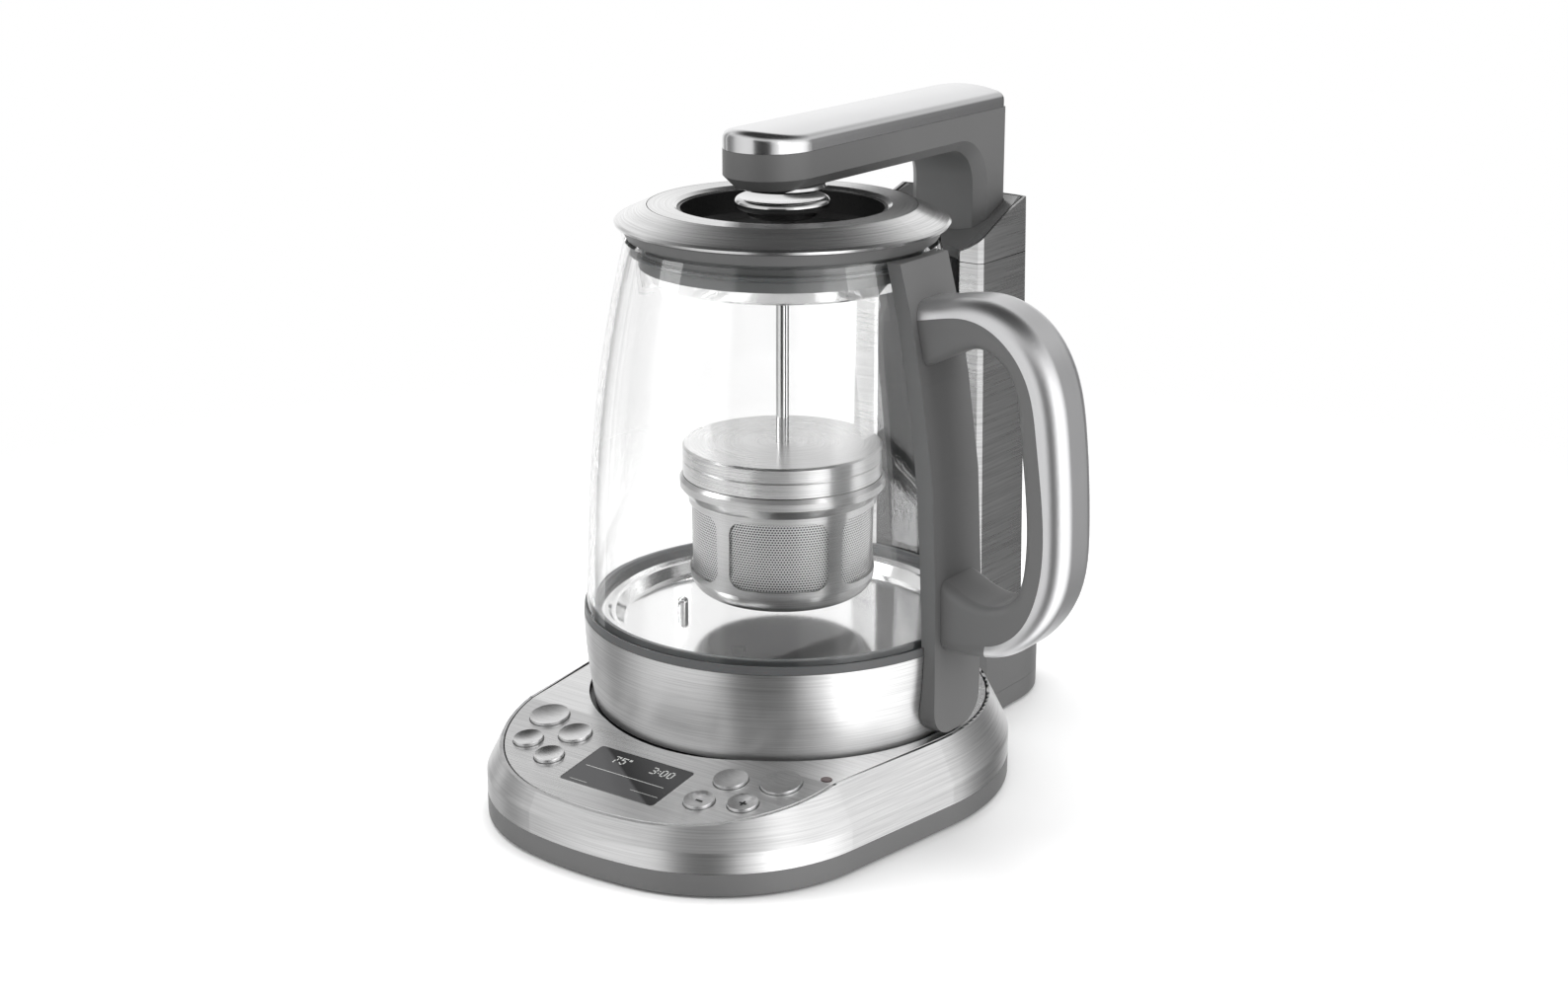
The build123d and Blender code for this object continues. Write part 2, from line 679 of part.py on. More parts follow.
def cord_inlet():
    """Rubber grommet in the foot's back, where the mains lead would leave."""
    bore = INLET_R - 2.0
    wall = Cylinder(INLET_R - JOIN, SKIRT_WALL + 2) - Cylinder(bore, 20)
    flange = Pos(0, 0, SKIRT_WALL / 2 + 1.6) * (Cylinder(INLET_R + 2, 1.4) - Cylinder(bore, 20))
    return Pos(0, PLINTH_BACK - SKIRT_WALL / 2 - 0.4, INLET_Z) * Rotation(-90, 0, 0) * (wall + flange)


def back_cover():
    """Plastic back of the tower, with a rounded plan."""
    cover = tower_shell(BACK_WALL, WRAP_LOW, TOWER_HIGH_Z + 10)
    return (cover & behind_seam(JOIN)) - trim_cut(0)


def post_plan(clearance):
    """Plan of the sliding post: chamfered front corners and rounded rear corners."""
    half, cut = ARM_HALF + clearance, ARM_CHAMFER
    front, rear = POST_FRONT - clearance, ARM_REAR + clearance
    turn = REAR_CORNER_R
    bend = turn * (1 - sqrt(0.5))
    return face_xy(
        Line((cut - half, front), (half - cut, front)),
        Line((half - cut, front), (half, front + cut)),
        Line((half, front + cut), (half, rear - turn)),
        ThreePointArc((half, rear - turn), (half - bend, rear - bend), (half - turn, rear)),
        Line((half - turn, rear), (turn - half, rear)),
        ThreePointArc((turn - half, rear), (bend - half, rear - bend), (-half, rear - turn)),
        Line((-half, rear - turn), (-half, front + cut)),
        Line((-half, front + cut), (cut - half, front)),
    )


def collar():
    """Dished top of the tower with the sleeve that guides the post."""
    inner = tower_solid(BACK_WALL + JOIN, SEAM_Z - 20, TOWER_HIGH_Z + 10) - niche()
    inner -= disc(NICHE_R + WRAP_WALL + JOIN, 0, SEAM_Z + GAP / 2, 0, NICHE_Y)
    skin = inner - trim_cut(0.4) - trough(0)
    hollow = tower_solid(BACK_WALL + COLLAR_WALL, SEAM_Z - 30, TOWER_HIGH_Z + 20)
    hollow = (hollow - niche(COLLAR_WALL)) - trim_cut(0.4 + COLLAR_WALL)
    hollow -= trough(COLLAR_WALL)
    sleeve = prism(post_plan(GAP + SLEEVE_WALL), SLEEVE_LOW, TOWER_HIGH_Z) & inner
    sleeve = sleeve - trim_cut(1) - trough(1)
    skin = skin - hollow + sleeve
    wide, far = TOWER_HALF_LOW + 10, TOWER_BACK + 20
    low_cut = block(-wide, wide, TOWER_FRONT - 20, far, SLEEVE_LOW - 80, SLEEVE_LOW)
    bore = prism(post_plan(GAP), SLEEVE_LOW - 20, TOWER_HIGH_Z + 50)
    return skin - bore - low_cut


def lift_frame():
    """Moulded frame over the motor: carries the guide rods and the screw's bearing."""
    low = GEARBOX_TOP + JOIN
    foot_floor = SKIRT_TOP + JOIN + SKIRT_WALL
    plate = block(-ROD_X - 5, ROD_X + 5, SCREW_Y - 12, SCREW_Y + 6, low, low + FRAME_T)
    for x in (-ROD_X, ROD_X):
        plate += disc(ROD_R + 2.5, low, low + 2 * FRAME_T, x, SCREW_Y)
        plate += block(x - 5, x + 5, SCREW_Y - 8, SCREW_Y + 5, foot_floor + JOIN, low)
        plate -= disc(ROD_R + JOIN / 2, low, low + 20, x, SCREW_Y)
    return plate - disc(LEAD_R + RUN, 0, 200, 0, SCREW_Y)


def guide_rods():
    """Two ground rods that the carriage slides on."""
    return [disc(ROD_R, GEARBOX_TOP + JOIN, SLEEVE_LOW - GAP, x, SCREW_Y) for x in (-ROD_X, ROD_X)]


def lift_motor():
    """Geared motor under the screw."""
    can = disc(MOTOR_R, SKIRT_BOTTOM + TRAY_FLOOR + JOIN, MOTOR_TOP, 0, SCREW_Y)
    return can + disc(MOTOR_R + 1.0, MOTOR_TOP, GEARBOX_TOP, 0, SCREW_Y) - disc(2.6, 40, 80, 0, SCREW_Y)


def lead_screw():
    """Screw with the drive shaft that enters the gearbox."""
    top = chamfer(disc(LEAD_R, GEARBOX_TOP + 1.0, LEAD_TOP, 0, SCREW_Y).edges().sort_by(Axis.Z)[-1:], 0.8)
    return top + disc(2.4, GEARBOX_TOP - 12, GEARBOX_TOP + 1.0, 0, SCREW_Y)


# ---- arm --------------------------------------------------------------------------------------
def arm_plan(inset, turn=REAR_CORNER_R):
    """Plan of the arm: half an ellipse at the nose, straight sides, small rear corners."""
    half, reach = ARM_HALF - inset, NOSE_REACH - inset
    rear = ARM_REAR - inset
    bend = turn * (1 - sqrt(0.5))
    nose = EllipticalCenterArc((0, NOSE_Y), half, reach, 180, arc_size=180)
    return face_xy(
        nose,
        Line((half, NOSE_Y), (half, rear - turn)),
        ThreePointArc((half, rear - turn), (half - bend, rear - bend), (half - turn, rear)),
        Line((half - turn, rear), (turn - half, rear)),
        ThreePointArc((turn - half, rear), (bend - half, rear - bend), (-half, rear - turn)),
        Line((-half, rear - turn), (-half, NOSE_Y)),
    )


def arm_housing():
    """Arm and post in one moulding, with the inner corner rounded and the lower edges bevelled."""
    turn = INNER_CORNER_R
    bend = turn * (1 - sqrt(0.5))
    front = NOSE_Y - NOSE_REACH - 5
    side = make_face(
        [
            Polyline(
                (POST_FRONT, POST_LOW), (ARM_REAR + 5, POST_LOW), (ARM_REAR + 5, ARM_SPLIT),
                (front, ARM_SPLIT), (front, ARM_UNDER), (POST_FRONT - turn, ARM_UNDER),
            ),
            ThreePointArc(
                (POST_FRONT - turn, ARM_UNDER),
                (POST_FRONT - bend, ARM_UNDER - bend),
                (POST_FRONT, ARM_UNDER - turn),
            ),
            Line((POST_FRONT, ARM_UNDER - turn), (POST_FRONT, POST_LOW)),
        ]
    )
    solid = extrude(Plane.YZ * side, ARM_HALF + 5, both=True)
    solid &= prism(arm_plan(0), POST_LOW - 5, ARM_SPLIT + 5)
    edges = [e for e in solid.edges() if bevelled_edge(e)]
    solid = chamfer(edges, ARM_CHAMFER)
    rear_wall = ARM_REAR - POST_WALL
    half = ARM_HALF - POST_WALL
    room = block(-half, half, POST_FRONT + POST_WALL, rear_wall, POST_LOW - 5, ARM_UNDER)
    room = chamfer(room.edges().filter_by(Axis.Z).group_by(Axis.Y)[0], ARM_CHAMFER - 1)
    magnet_seat = disc(MAGNET_R + JOIN, ARM_UNDER - 5, COUPLER_Z + MAGNET_H + 2 * JOIN)
    return solid - room - magnet_seat


def bevelled_edge(edge):
    """Lower edges of the arm and front edges of the post, with the round inner corner's sides."""
    middle = edge @ 0.5
    on_side = abs(abs(middle.X) - ARM_HALF) < 0.01
    under = abs(middle.Z - ARM_UNDER) < 0.01 and middle.Y < POST_FRONT - 1
    post = on_side and abs(middle.Y - POST_FRONT) < 0.01 and middle.Z < ARM_UNDER
    inner = on_side and edge.geom_type == GeomType.CIRCLE and middle.Z < ARM_UNDER
    nose_or_side = abs(middle.X) > 1 or middle.Y < NOSE_Y
    return (under and nose_or_side) or post or inner


def arm_cap():
    """Bright metal cap: upright sides that round over into a crowned top."""
    low = ARM_SPLIT + JOIN
    crown = Pos(0, 50, ARM_TOP - CROWN_R) * Rotation(90, 0, 0) * Cylinder(CROWN_R, 300)
    form = prism(arm_plan(0, CAP_CORNER_R), low, ARM_TOP + 2) & crown
    rim = [edge for edge in form.edges() if edge.bounding_box().min.Z > low + 0.1]
    return fillet(rim, CAP_EDGE_R)


def coupler_ring():
    """Bright ring under the nose that meets the basket's knob."""
    low, high = COUPLER_Z, ARM_UNDER - JOIN
    return turned(
        (
            (MAGNET_R + JOIN, low + 0.4), (MAGNET_R + 1.5, low), (COUPLER_R - 0.8, low),
            (COUPLER_R, low + 0.7), (COUPLER_R - 0.4, high), (MAGNET_R + JOIN, high),
        )
    )


def coupler_magnet():
    """Magnet in the nose that holds the knob."""
    return disc(MAGNET_R, COUPLER_Z + 0.5, COUPLER_Z + MAGNET_H)


def lift_carriage():
    """Block under the post that carries the nut and rides the guide rods."""
    low = POST_LOW - JOIN - CARRIAGE_H
    body = block(-ROD_X - 5, ROD_X + 5, SCREW_Y - 8, SCREW_Y + 6, low, POST_LOW - JOIN)
    body -= disc(NUT_R + JOIN, 0, 200, 0, SCREW_Y)
    body -= disc(NUT_FLANGE_R + JOIN, low - 1, low + 3, 0, SCREW_Y)
    for x in (-ROD_X, ROD_X):
        body -= disc(ROD_R + RUN, 0, 200, x, SCREW_Y)
    return body


def lift_nut():
    """Flanged brass nut on the screw."""
    low = POST_LOW - JOIN - CARRIAGE_H
    nut = disc(NUT_R, low + 0.5, POST_LOW - JOIN, 0, SCREW_Y)
    nut += disc(NUT_FLANGE_R, low + 0.5, low + 2.9, 0, SCREW_Y)
    return nut - disc(LEAD_R + RUN, 0, 200, 0, SCREW_Y)


# ---- jug --------------------------------------------------------------------------------------
def glass_form(inset, low, high):
    """Solid of the glass wall's outer form, drawn inwards by inset."""
    outline = [(radius - inset, height) for radius, height in GLASS_PROFILE]
    edge = Spline(*outline)
    face = make_face([edge, Polyline(outline[-1], (0, outline[-1][1]), (0, outline[0][1]), outline[0])])
    return revolve(Plane.XZ * face, Axis.Z) & disc(BAND_HIGH_R + 5, low, high)


def spout_form(inset, low, high):
    """Tapering beak of the spout, drawn inwards by inset."""
    def section(reach, half, z):
        back, side = 50.0, 0.8 * SPOUT_TIP_R
        tip, shoulder = inset - reach, inset - reach + 0.6 * SPOUT_TIP_R
        return Pos(0, 0, z) * face_xy(
            Line((-back, -half + inset), (shoulder, -side)),
            ThreePointArc((shoulder, -side), (tip, 0), (shoulder, side)),
            Line((shoulder, side), (-back, half - inset)),
            Line((-back, half - inset), (-back, -half + inset)),
        )

    foot, mouth = section(SPOUT_LOW_REACH, SPOUT_LOW_HALF, low), section(SPOUT_REACH, SPOUT_HALF, high)
    return loft([foot, mouth], ruled=True)


def jug_glass():
    """Blown glass body with its beak."""
    wall = glass_form(0, GLASS_LOW, GLASS_TOP) + spout_form(0, SPOUT_LOW, GLASS_TOP)
    room = glass_form(GLASS_T, GLASS_LOW, GLASS_TOP)
    return wall - room - spout_form(GLASS_T - 0.6, SPOUT_LOW + GLASS_T, GLASS_TOP)


def band_curve(inset):
    """Outer curve of the steel band, drawn inwards by inset."""
    middle = (BAND_LOW + BAND_HIGH) / 2
    return ThreePointArc(
        (BAND_LOW_R - inset, BAND_LOW), (BAND_MID_R - inset, middle), (BAND_HIGH_R - inset, BAND_HIGH)
    )


def steel_band():
    """Brushed band round the jug's foot, turned in at the bottom."""
    inner_low = (BAND_LOW_R - 3.5, BAND_LOW)
    outer = band_curve(0)
    inner = band_curve(BAND_WALL)
    lip_top = BAND_LOW + BAND_WALL
    face = make_face(
        [
            outer,
            Line(outer @ 1, inner @ 1),
            inner,
            Line(inner @ 0, outer @ 0),
        ]
    )
    lip = ring(BAND_LOW_R - 0.4, inner_low[0], BAND_LOW, lip_top)
    return revolve(Plane.XZ * face, Axis.Z) + lip


def band_gasket():
    """Grey silicone ring that the glass stands in."""
    outer = BAND_HIGH_R - BAND_WALL - JOIN
    low = PLATE_RIM_Z - 4.0
    glass_out, glass_in = GLASS_PROFILE[0][0] + JOIN, GLASS_PROFILE[0][0] - GLASS_T - JOIN
    lip = glass_out + GASKET_LIP - JOIN
    return turned(
        (
            (GASKET_IN_R, low), (outer, low), (outer, BAND_HIGH + JOIN), (lip, BAND_HIGH + JOIN),
            (lip - 0.2, GASKET_TOP), (glass_out, GASKET_TOP), (glass_out, GLASS_LOW - JOIN),
            (glass_in, GLASS_LOW - JOIN), (glass_in - 0.1, GASKET_IN_TOP), (GASKET_IN_R + 1, GASKET_IN_TOP),
            (GASKET_IN_R, GASKET_IN_TOP - 1),
        )
    )


def heater_plate():
    """Polished floor of the jug: a flat pan with a stepped, raised rim."""
    t, z, rim = PLATE_T, PLATE_Z, PLATE_RIM_Z
    plate = turned(
        (
            (0, z - t), (PLATE_FLAT_R + 1, z - t), (PLATE_STEP_R + 0.5, rim - 2.6),
            (PLATE_RIM_R, rim - 2.6), (PLATE_RIM_R, rim), (PLATE_STEP_R + 1.2, rim),
            (PLATE_STEP_R, rim - 1.2), (PLATE_STEP_R - 1.5, rim - 1.4), (PLATE_FLAT_R, z), (0, z),
        )
    )
    return plate - disc(PROBE_R + JOIN, 0, 100, PROBE_X, PROBE_Y)


def heating_element():
    """Open ring of tubular heater under the plate, with its two tails."""
    top = PLATE_Z - PLATE_T - JOIN
    z = top - ELEMENT_TUBE_R
    section = Plane.XZ * Pos(ELEMENT_R, z) * Circle(ELEMENT_TUBE_R)
    return Rotation(0, 0, 120) * revolve(section, Axis.Z, 300)


def sensor_probe():
    """Temperature probe through the plate."""
    probe = disc(PROBE_R, PLATE_Z - 4, PROBE_TOP - PROBE_R, PROBE_X, PROBE_Y)
    nut = disc(PROBE_R + 2, PLATE_Z - 4, PLATE_Z - PLATE_T - JOIN, PROBE_X, PROBE_Y)
    return probe + nut + Pos(PROBE_X, PROBE_Y, PROBE_TOP - PROBE_R) * Sphere(PROBE_R)


def upper_connector():
    """Socket in the jug's foot that fits over the plug."""
    inner = PLUG_R + 0.6
    body = disc(inner + SOCKET_WALL, BAND_LOW + GAP, SOCKET_TOP)
    return body - disc(inner, 0, PLUG_TOP + 3.2)


def jug_bottom_cover():
    """Black cover under the jug with its standing ring."""
    low = BAND_LOW + BAND_WALL + JOIN
    cover = disc(BAND_LOW_R - 2.5, low, low + COVER_T)
    cover += ring(COVER_FOOT_OUT, COVER_FOOT_IN, SEAT_Z + GAP, low)
    return cover - disc(PLUG_R + 0.6 + SOCKET_WALL + JOIN, 0, 60)


def jug_form(clearance):
    """Outer form of glass, gasket and band, grown by clearance, for what hugs the jug."""
    band = band_curve(-clearance)
    low, high = band @ 0, band @ 1
    shoulder = GLASS_PROFILE[0][0] + clearance + GASKET_LIP
    face = make_face(
        [
            band,
            Polyline(
                high, (high.X, BAND_HIGH + clearance), (shoulder, BAND_HIGH + clearance),
                (shoulder, GASKET_TOP + clearance), (0, GASKET_TOP + clearance), (0, BAND_LOW - 5),
                (low.X, BAND_LOW - 5), low,
            ),
        ]
    )
    return revolve(Plane.XZ * face, Axis.Z) + glass_form(-clearance, GLASS_LOW, GLASS_TOP)


def handle_bracket():
    """Strip down the jug's side that carries the handle, with a rounded lower end."""
    points = ((50.0, BRACKET_LOW),) + BRACKET_OUTLINE + ((50.0, BRACKET_TOP),)
    strip = extrude(polygon(points, Plane.XZ), BRACKET_HALF, both=True)
    ends = strip.edges().filter_by(Axis.X).group_by(Axis.Z)[0]
    strip = fillet(ends, BRACKET_END_R)
    strip -= jug_form(2 * JOIN)
    for z in (HANDLE_SCREW_LOW, HANDLE_SCREW_HIGH):
        strip -= Pos(75, 0, z) * Rotation(0, 90, 0) * Cylinder(SCREW_R + JOIN, 40)
    return strip


def bracket_face(z):
    """X of the bracket's outer face at height z."""
    for (x0, z0), (x1, z1) in zip(BRACKET_OUTLINE, BRACKET_OUTLINE[1:]):
        if z0 <= z <= z1:
            return x0 + (x1 - x0) * (z - z0) / (z1 - z0)
    return BRACKET_OUTLINE[-1][0]


def bracket_form(clearance):
    """Outer form of the bracket, grown by clearance, for what seats on it."""
    grown = tuple((x + clearance, z) for x, z in BRACKET_OUTLINE)
    points = ((40.0, BRACKET_LOW),) + grown + ((40.0, BRACKET_TOP),)
    return extrude(polygon(points, Plane.XZ), 30, both=True)


def handle_form():
    """Whole handle with rounded rims, from the bracket out and back."""
    outer, inner = Spline(*HANDLE_OUTER), Spline(*HANDLE_INNER)
    face = make_face([outer, Line(outer @ 1, inner @ 1), inner, Line(inner @ 0, outer @ 0)])
    solid = extrude(Plane.XZ * face, HANDLE_HALF, both=True)
    rims = [e for e in solid.edges() if e.length > 100]
    reach = max((e @ 0.5).X for e in rims)
    outer_rims = [e for e in rims if (e @ 0.5).X > reach - 1]
    solid = fillet(outer_rims, SHELL_ROUND)
    inner_rims = [e for e in solid.edges() if e.length > 100 and abs(abs((e @ 0.5).Y) - HANDLE_HALF) < 0.01]
    inner_rims = [e for e in inner_rims if (e @ 0.5).X < reach - 15]
    return fillet(inner_rims, GRIP_ROUND) - bracket_form(JOIN)


def split_curve(shift):
    """Joint between the shell and the grip, moved outwards by shift."""
    split = Spline(*HANDLE_SPLIT)
    count = 2 * len(HANDLE_SPLIT)
    points = []
    for k in range(count + 1):
        point, along = split @ (k / count), split % (k / count)
        points.append((point.X - along.Y * shift, point.Y + along.X * shift))
    return Spline(*points)


def outside_split(shift):
    """Everything outside the joint between the shell and the grip."""
    split = split_curve(shift)
    start, end, far = split @ 0, split @ 1, 160.0
    face = make_face([split, Polyline(end, (end.X - 8, 50), (far, 50), (far, 230), (start.X, 230), start)])
    return extrude(Plane.XZ * face, HANDLE_HALF + 5, both=True)


def handle_shell():
    """Satin metal shell round the outside of the handle."""
    return handle_form() & outside_split(JOIN)


def handle_grip():
    """Grey plastic grip inside the shell, with the two roots on the bracket."""
    solid = handle_form() - outside_split(0)
    for z in (HANDLE_SCREW_LOW, HANDLE_SCREW_HIGH):
        solid -= Pos(70, 0, z) * Rotation(0, 90, 0) * Cylinder(SCREW_R + JOIN, 42)
    return solid


def handle_screws():
    """Two screws from inside the bracket into the handle's roots."""
    screws = []
    for z in (HANDLE_SCREW_LOW, HANDLE_SCREW_HIGH):
        start = bracket_face(z) - 2.5
        lying = Rotation(0, 90, 0) * Cylinder(SCREW_R, HANDLE_SCREW_L)
        shank = Pos(start + HANDLE_SCREW_L / 2, 0, z) * lying
        screws.append(shank)
    return screws


# ---- lid --------------------------------------------------------------------------------------
def lid_rim():
    """Satin outer rim that slopes down over the jug's mouth."""
    top, skin = LID_TOP, LID_SKIN
    return turned(
        (
            (LID_JOINT_R, top), (LID_RIM_R - 0.9, LID_RIM_Z + 0.9), (LID_RIM_R, LID_RIM_Z),
            (LID_RIM_R - 0.5, LID_RIM_Z - 1.0), (LID_RIM_R - 1.6, LID_RIM_Z - 1.2),
            (LID_JOINT_R + 1.0, top - skin - 1.0), (LID_JOINT_R, top - skin - 0.6),
        )
    )


def lid_ring():
    """Flat satin ring between the rim and the well, bevelled at its inner edge."""
    top, skin = LID_TOP, LID_SKIN
    return turned(
        (
            (LID_WELL_R, top), (LID_JOINT_R - GAP, top), (LID_JOINT_R - GAP, top - skin),
            (LID_WELL_R - 1.6, top - skin), (LID_WELL_R - 1.6, top - 1.0),
        )
    )


def lid_well():
    """Dark recess in the middle of the lid, with a raised collar round the rod's bush."""
    top, outer = LID_TOP - LID_SKIN - JOIN, LID_WELL_R - 1.0
    wall, floor = 1.8, WELL_FLOOR
    hole = BUSH_R + JOIN
    return turned(
        (
            (hole, floor - wall), (outer - 2, floor - wall), (outer, floor + 1), (outer, top),
            (outer - wall, top), (outer - wall, floor + 2), (outer - wall - 2, floor),
            (hole + 3, floor), (hole + 2, floor + 1.6), (hole, floor + 1.6),
        )
    )


def lid_body():
    """Grey moulding of the lid: the flange on the jug's mouth and the stopper below."""
    rim_low = LID_RIM_Z - 1.2
    top = LID_TOP - LID_SKIN - JOIN
    well = LID_WELL_R - 1.0 + JOIN
    stopper_in = STOPPER_R - 2.4
    return turned(
        (
            (well, top), (LID_JOINT_R - 0.5, top),
            (LID_JOINT_R + 0.4, top - 1.2), (LID_RIM_R - 2.6, rim_low),
            (LID_RIM_R - 2.4, rim_low - 0.6), (LID_RIM_R - 4.6, LID_UNDER_Z), (STOPPER_R, LID_UNDER_Z),
            (STOPPER_R, SEAL_Z + 1.6), (STOPPER_R - 1.2, SEAL_Z + 1.6), (STOPPER_R - 1.2, SEAL_Z - 1.0),
            (STOPPER_R, SEAL_Z - 1.0), (STOPPER_R, STOPPER_LOW), (stopper_in, STOPPER_LOW),
            (stopper_in, LID_UNDER_Z), (well, LID_UNDER_Z + 2.4),
        )
    )


def lid_seal():
    """Silicone ring in the stopper's groove, with a lip towards the glass."""
    inner, body = STOPPER_R - 1.1, STOPPER_R + 0.3
    lip = glass_radius(SEAL_Z) - GLASS_T - GAP
    return turned(
        (
            (inner, SEAL_Z - 0.9), (body, SEAL_Z - 0.9), (lip, SEAL_Z + 0.6), (lip - 0.3, SEAL_Z + 1.4),
            (body, SEAL_Z + 1.0), (body, SEAL_Z + 1.5), (inner, SEAL_Z + 1.5),
        )
    )


def glass_radius(z):
    """Outer radius of the glass at height z, between its top two profile points."""
    (r0, z0), (r1, z1) = GLASS_PROFILE[-2:]
    return r0 + (r1 - r0) * (z - z0) / (z1 - z0)


def lid_pan():
    """Steel pan under the stopper, with a hole for the bush."""
    top, low, t = STOPPER_LOW - JOIN, PAN_LOW, PAN_T
    return turned(
        (
            (BUSH_R + JOIN, low), (PAN_LOW_R - 1.5, low), (PAN_LOW_R, low + 1.0), (PAN_R, top),
            (PAN_R - t - 1.6, top), (PAN_R - t - 1.6, top - t), (PAN_R - t, top - t),
            (PAN_LOW_R - t, low + 1.2), (PAN_LOW_R - 1.8, low + t), (BUSH_R + JOIN, low + t),
        )
    )


def rod_bush():
    """Plastic bush through the lid that the rod slides in."""
    bush_top = WELL_FLOOR + BUSH_PROUD
    return turned(
        (
            (ROD_RADIUS + RUN, BUSH_LOW), (BUSH_R + 1.5, BUSH_LOW), (BUSH_R + 1.5, PAN_LOW - JOIN),
            (BUSH_R, PAN_LOW - JOIN), (BUSH_R, bush_top), (ROD_RADIUS + RUN, bush_top),
        )
    )


# ---- infuser basket ---------------------------------------------------------------------------
def lift_knob():
    """Dished metal knob that the arm's magnet holds, with a neck that rests on the lid's bush."""
    top, low = KNOB_TOP, KNOB_TOP - KNOB_H
    rim = KNOB_R - KNOB_RIM
    neck_low = WELL_FLOOR + BUSH_PROUD + GAP
    outline = make_face(
        [
            Polyline(
                (rim, top), (0, top), (0, neck_low), (KNOB_NECK_R, neck_low), (KNOB_NECK_R, KNOB_LOW),
                (KNOB_COLLAR_R - 0.6, KNOB_LOW), (KNOB_COLLAR_R, KNOB_LOW + 0.6), (KNOB_COLLAR_R, low),
                (KNOB_R - 2.4, low),
            ),
            ThreePointArc((KNOB_R - 2.4, low), (KNOB_R, low + 0.55 * KNOB_H), (rim, top)),
        ]
    )
    knob = revolve(Plane.XZ * outline, Axis.Z) - dish(rim - 0.4, KNOB_DISH, top)
    return knob - disc(ROD_RADIUS + JOIN / 2, 0, KNOB_LOW + 3)


def lift_rod():
    """Rod between knob and cap."""
    return disc(ROD_RADIUS, CAP_BOSS_LOW + 1.5, KNOB_LOW + 2.9)


def sector(outer, inner, low, high, angle, count, turn):
    """Equally spaced arcs of a ring."""
    spread = 2 * outer * tan(radians(angle / 2))
    wedge = prism(polygon(((0, 0), (2 * outer, spread), (2 * outer, -spread))), low, high)
    wedge &= ring(outer, inner, low, high)
    return [Rotation(0, 0, turn + 360 * k / count) * wedge for k in range(count)]


def basket_cap():
    """Steel cap of the basket: a flat top, a grooved skirt and the bayonet's inner lugs."""
    top, low, inner = CAP_TOP, CAP_LOW, CAP_R - CAP_WALL
    cap = turned(
        (
            (0, top - CAP_WALL), (inner, top - CAP_WALL), (inner, low), (CAP_R, low),
            (CAP_R, CAP_GROOVE_Z - 0.4), (CAP_R - 0.4, CAP_GROOVE_Z), (CAP_R, CAP_GROOVE_Z + 0.4),
            (CAP_R, top - 0.8), (CAP_R - 0.8, top), (0, top),
        )
    )
    cap += disc(CAP_BOSS_R, CAP_BOSS_LOW, top - CAP_WALL / 2)
    lug_in, lug_top = CUP_NECK_R + GAP, CAP_LUG_Z + CAP_LUG_H
    for lug in sector(inner + 0.3, lug_in, CAP_LUG_Z, lug_top, LUG_ANGLE, LUG_COUNT, WINDOW_TURN):
        cap += lug
    return cap - disc(ROD_RADIUS + JOIN / 2, CAP_BOSS_LOW + 1.4, top + 1)


def cup_radius(z):
    """Outer radius of the cup's straight wall at height z."""
    low, high = CUP_FLOOR + CUP_FOOT_R, CUP_BEAD_LOW - CUP_FLARE
    return CUP_R - CUP_TAPER * (high - z) / (high - low)


def basket_cup():
    """Thin steel cup: rolled bead, five windows, rounded foot, and the bayonet's outer lugs."""
    wall, neck_in = CUP_WALL, CUP_NECK_R - CUP_WALL
    foot, straight = CUP_FOOT_R, CUP_FLOOR + CUP_FOOT_R
    outside = make_face(
        [
            Polyline((0, CUP_FLOOR), (CUP_LOW_R - foot + 3, CUP_FLOOR)),
            ThreePointArc(
                (CUP_LOW_R - foot + 3, CUP_FLOOR),
                (CUP_LOW_R - 0.4, CUP_FLOOR + 2.2),
                (cup_radius(straight), straight),
            ),
            Polyline(
                (cup_radius(straight), straight), (CUP_R, CUP_BEAD_LOW - CUP_FLARE),
                (CUP_BEAD_R - 1.2, CUP_BEAD_LOW), (CUP_BEAD_R, CUP_BEAD_LOW + 1.4),
                (CUP_BEAD_R, CUP_BEAD_TOP - 1.6), (CUP_BEAD_R - 1.0, CUP_BEAD_TOP),
                (CUP_NECK_R, CUP_BEAD_TOP), (CUP_NECK_R, CUP_NECK_TOP), (0, CUP_NECK_TOP), (0, CUP_FLOOR),
            ),
        ]
    )
    inside = turned(
        (
            (0, CUP_FLOOR + wall), (CUP_LOW_R - foot + 3, CUP_FLOOR + wall),
            (CUP_LOW_R - 1.8, CUP_FLOOR + 3.2),
            (cup_radius(straight) - wall, straight), (CUP_R - wall, CUP_BEAD_LOW - CUP_FLARE),
            (neck_in, CUP_BEAD_LOW), (neck_in, CUP_NECK_TOP + 1), (0, CUP_NECK_TOP + 1),
        )
    )
    cup = revolve(Plane.XZ * outside, Axis.Z) - inside
    high = CUP_LUG_Z + CUP_LUG_H
    lug_out = CAP_R - CAP_WALL - GAP
    for lug in sector(lug_out, CUP_NECK_R - 0.3, CUP_LUG_Z, high, LUG_ANGLE, LUG_COUNT, WINDOW_TURN):
        cup += lug
    width = 2 * CUP_R * sin(radians(WINDOW_ANGLE / 2))
    hole = extrude(Plane.YZ * RectangleRounded(width, WINDOW_TOP - WINDOW_LOW, WINDOW_CORNER), 60)
    hole = Pos(0, 0, (WINDOW_LOW + WINDOW_TOP) / 2) * hole
    for k in range(WINDOW_COUNT):
        cup -= Rotation(0, 0, WINDOW_TURN + 360 * k / WINDOW_COUNT) * (hole & block(20, 60, -40, 40, 0, 200))
    return cup


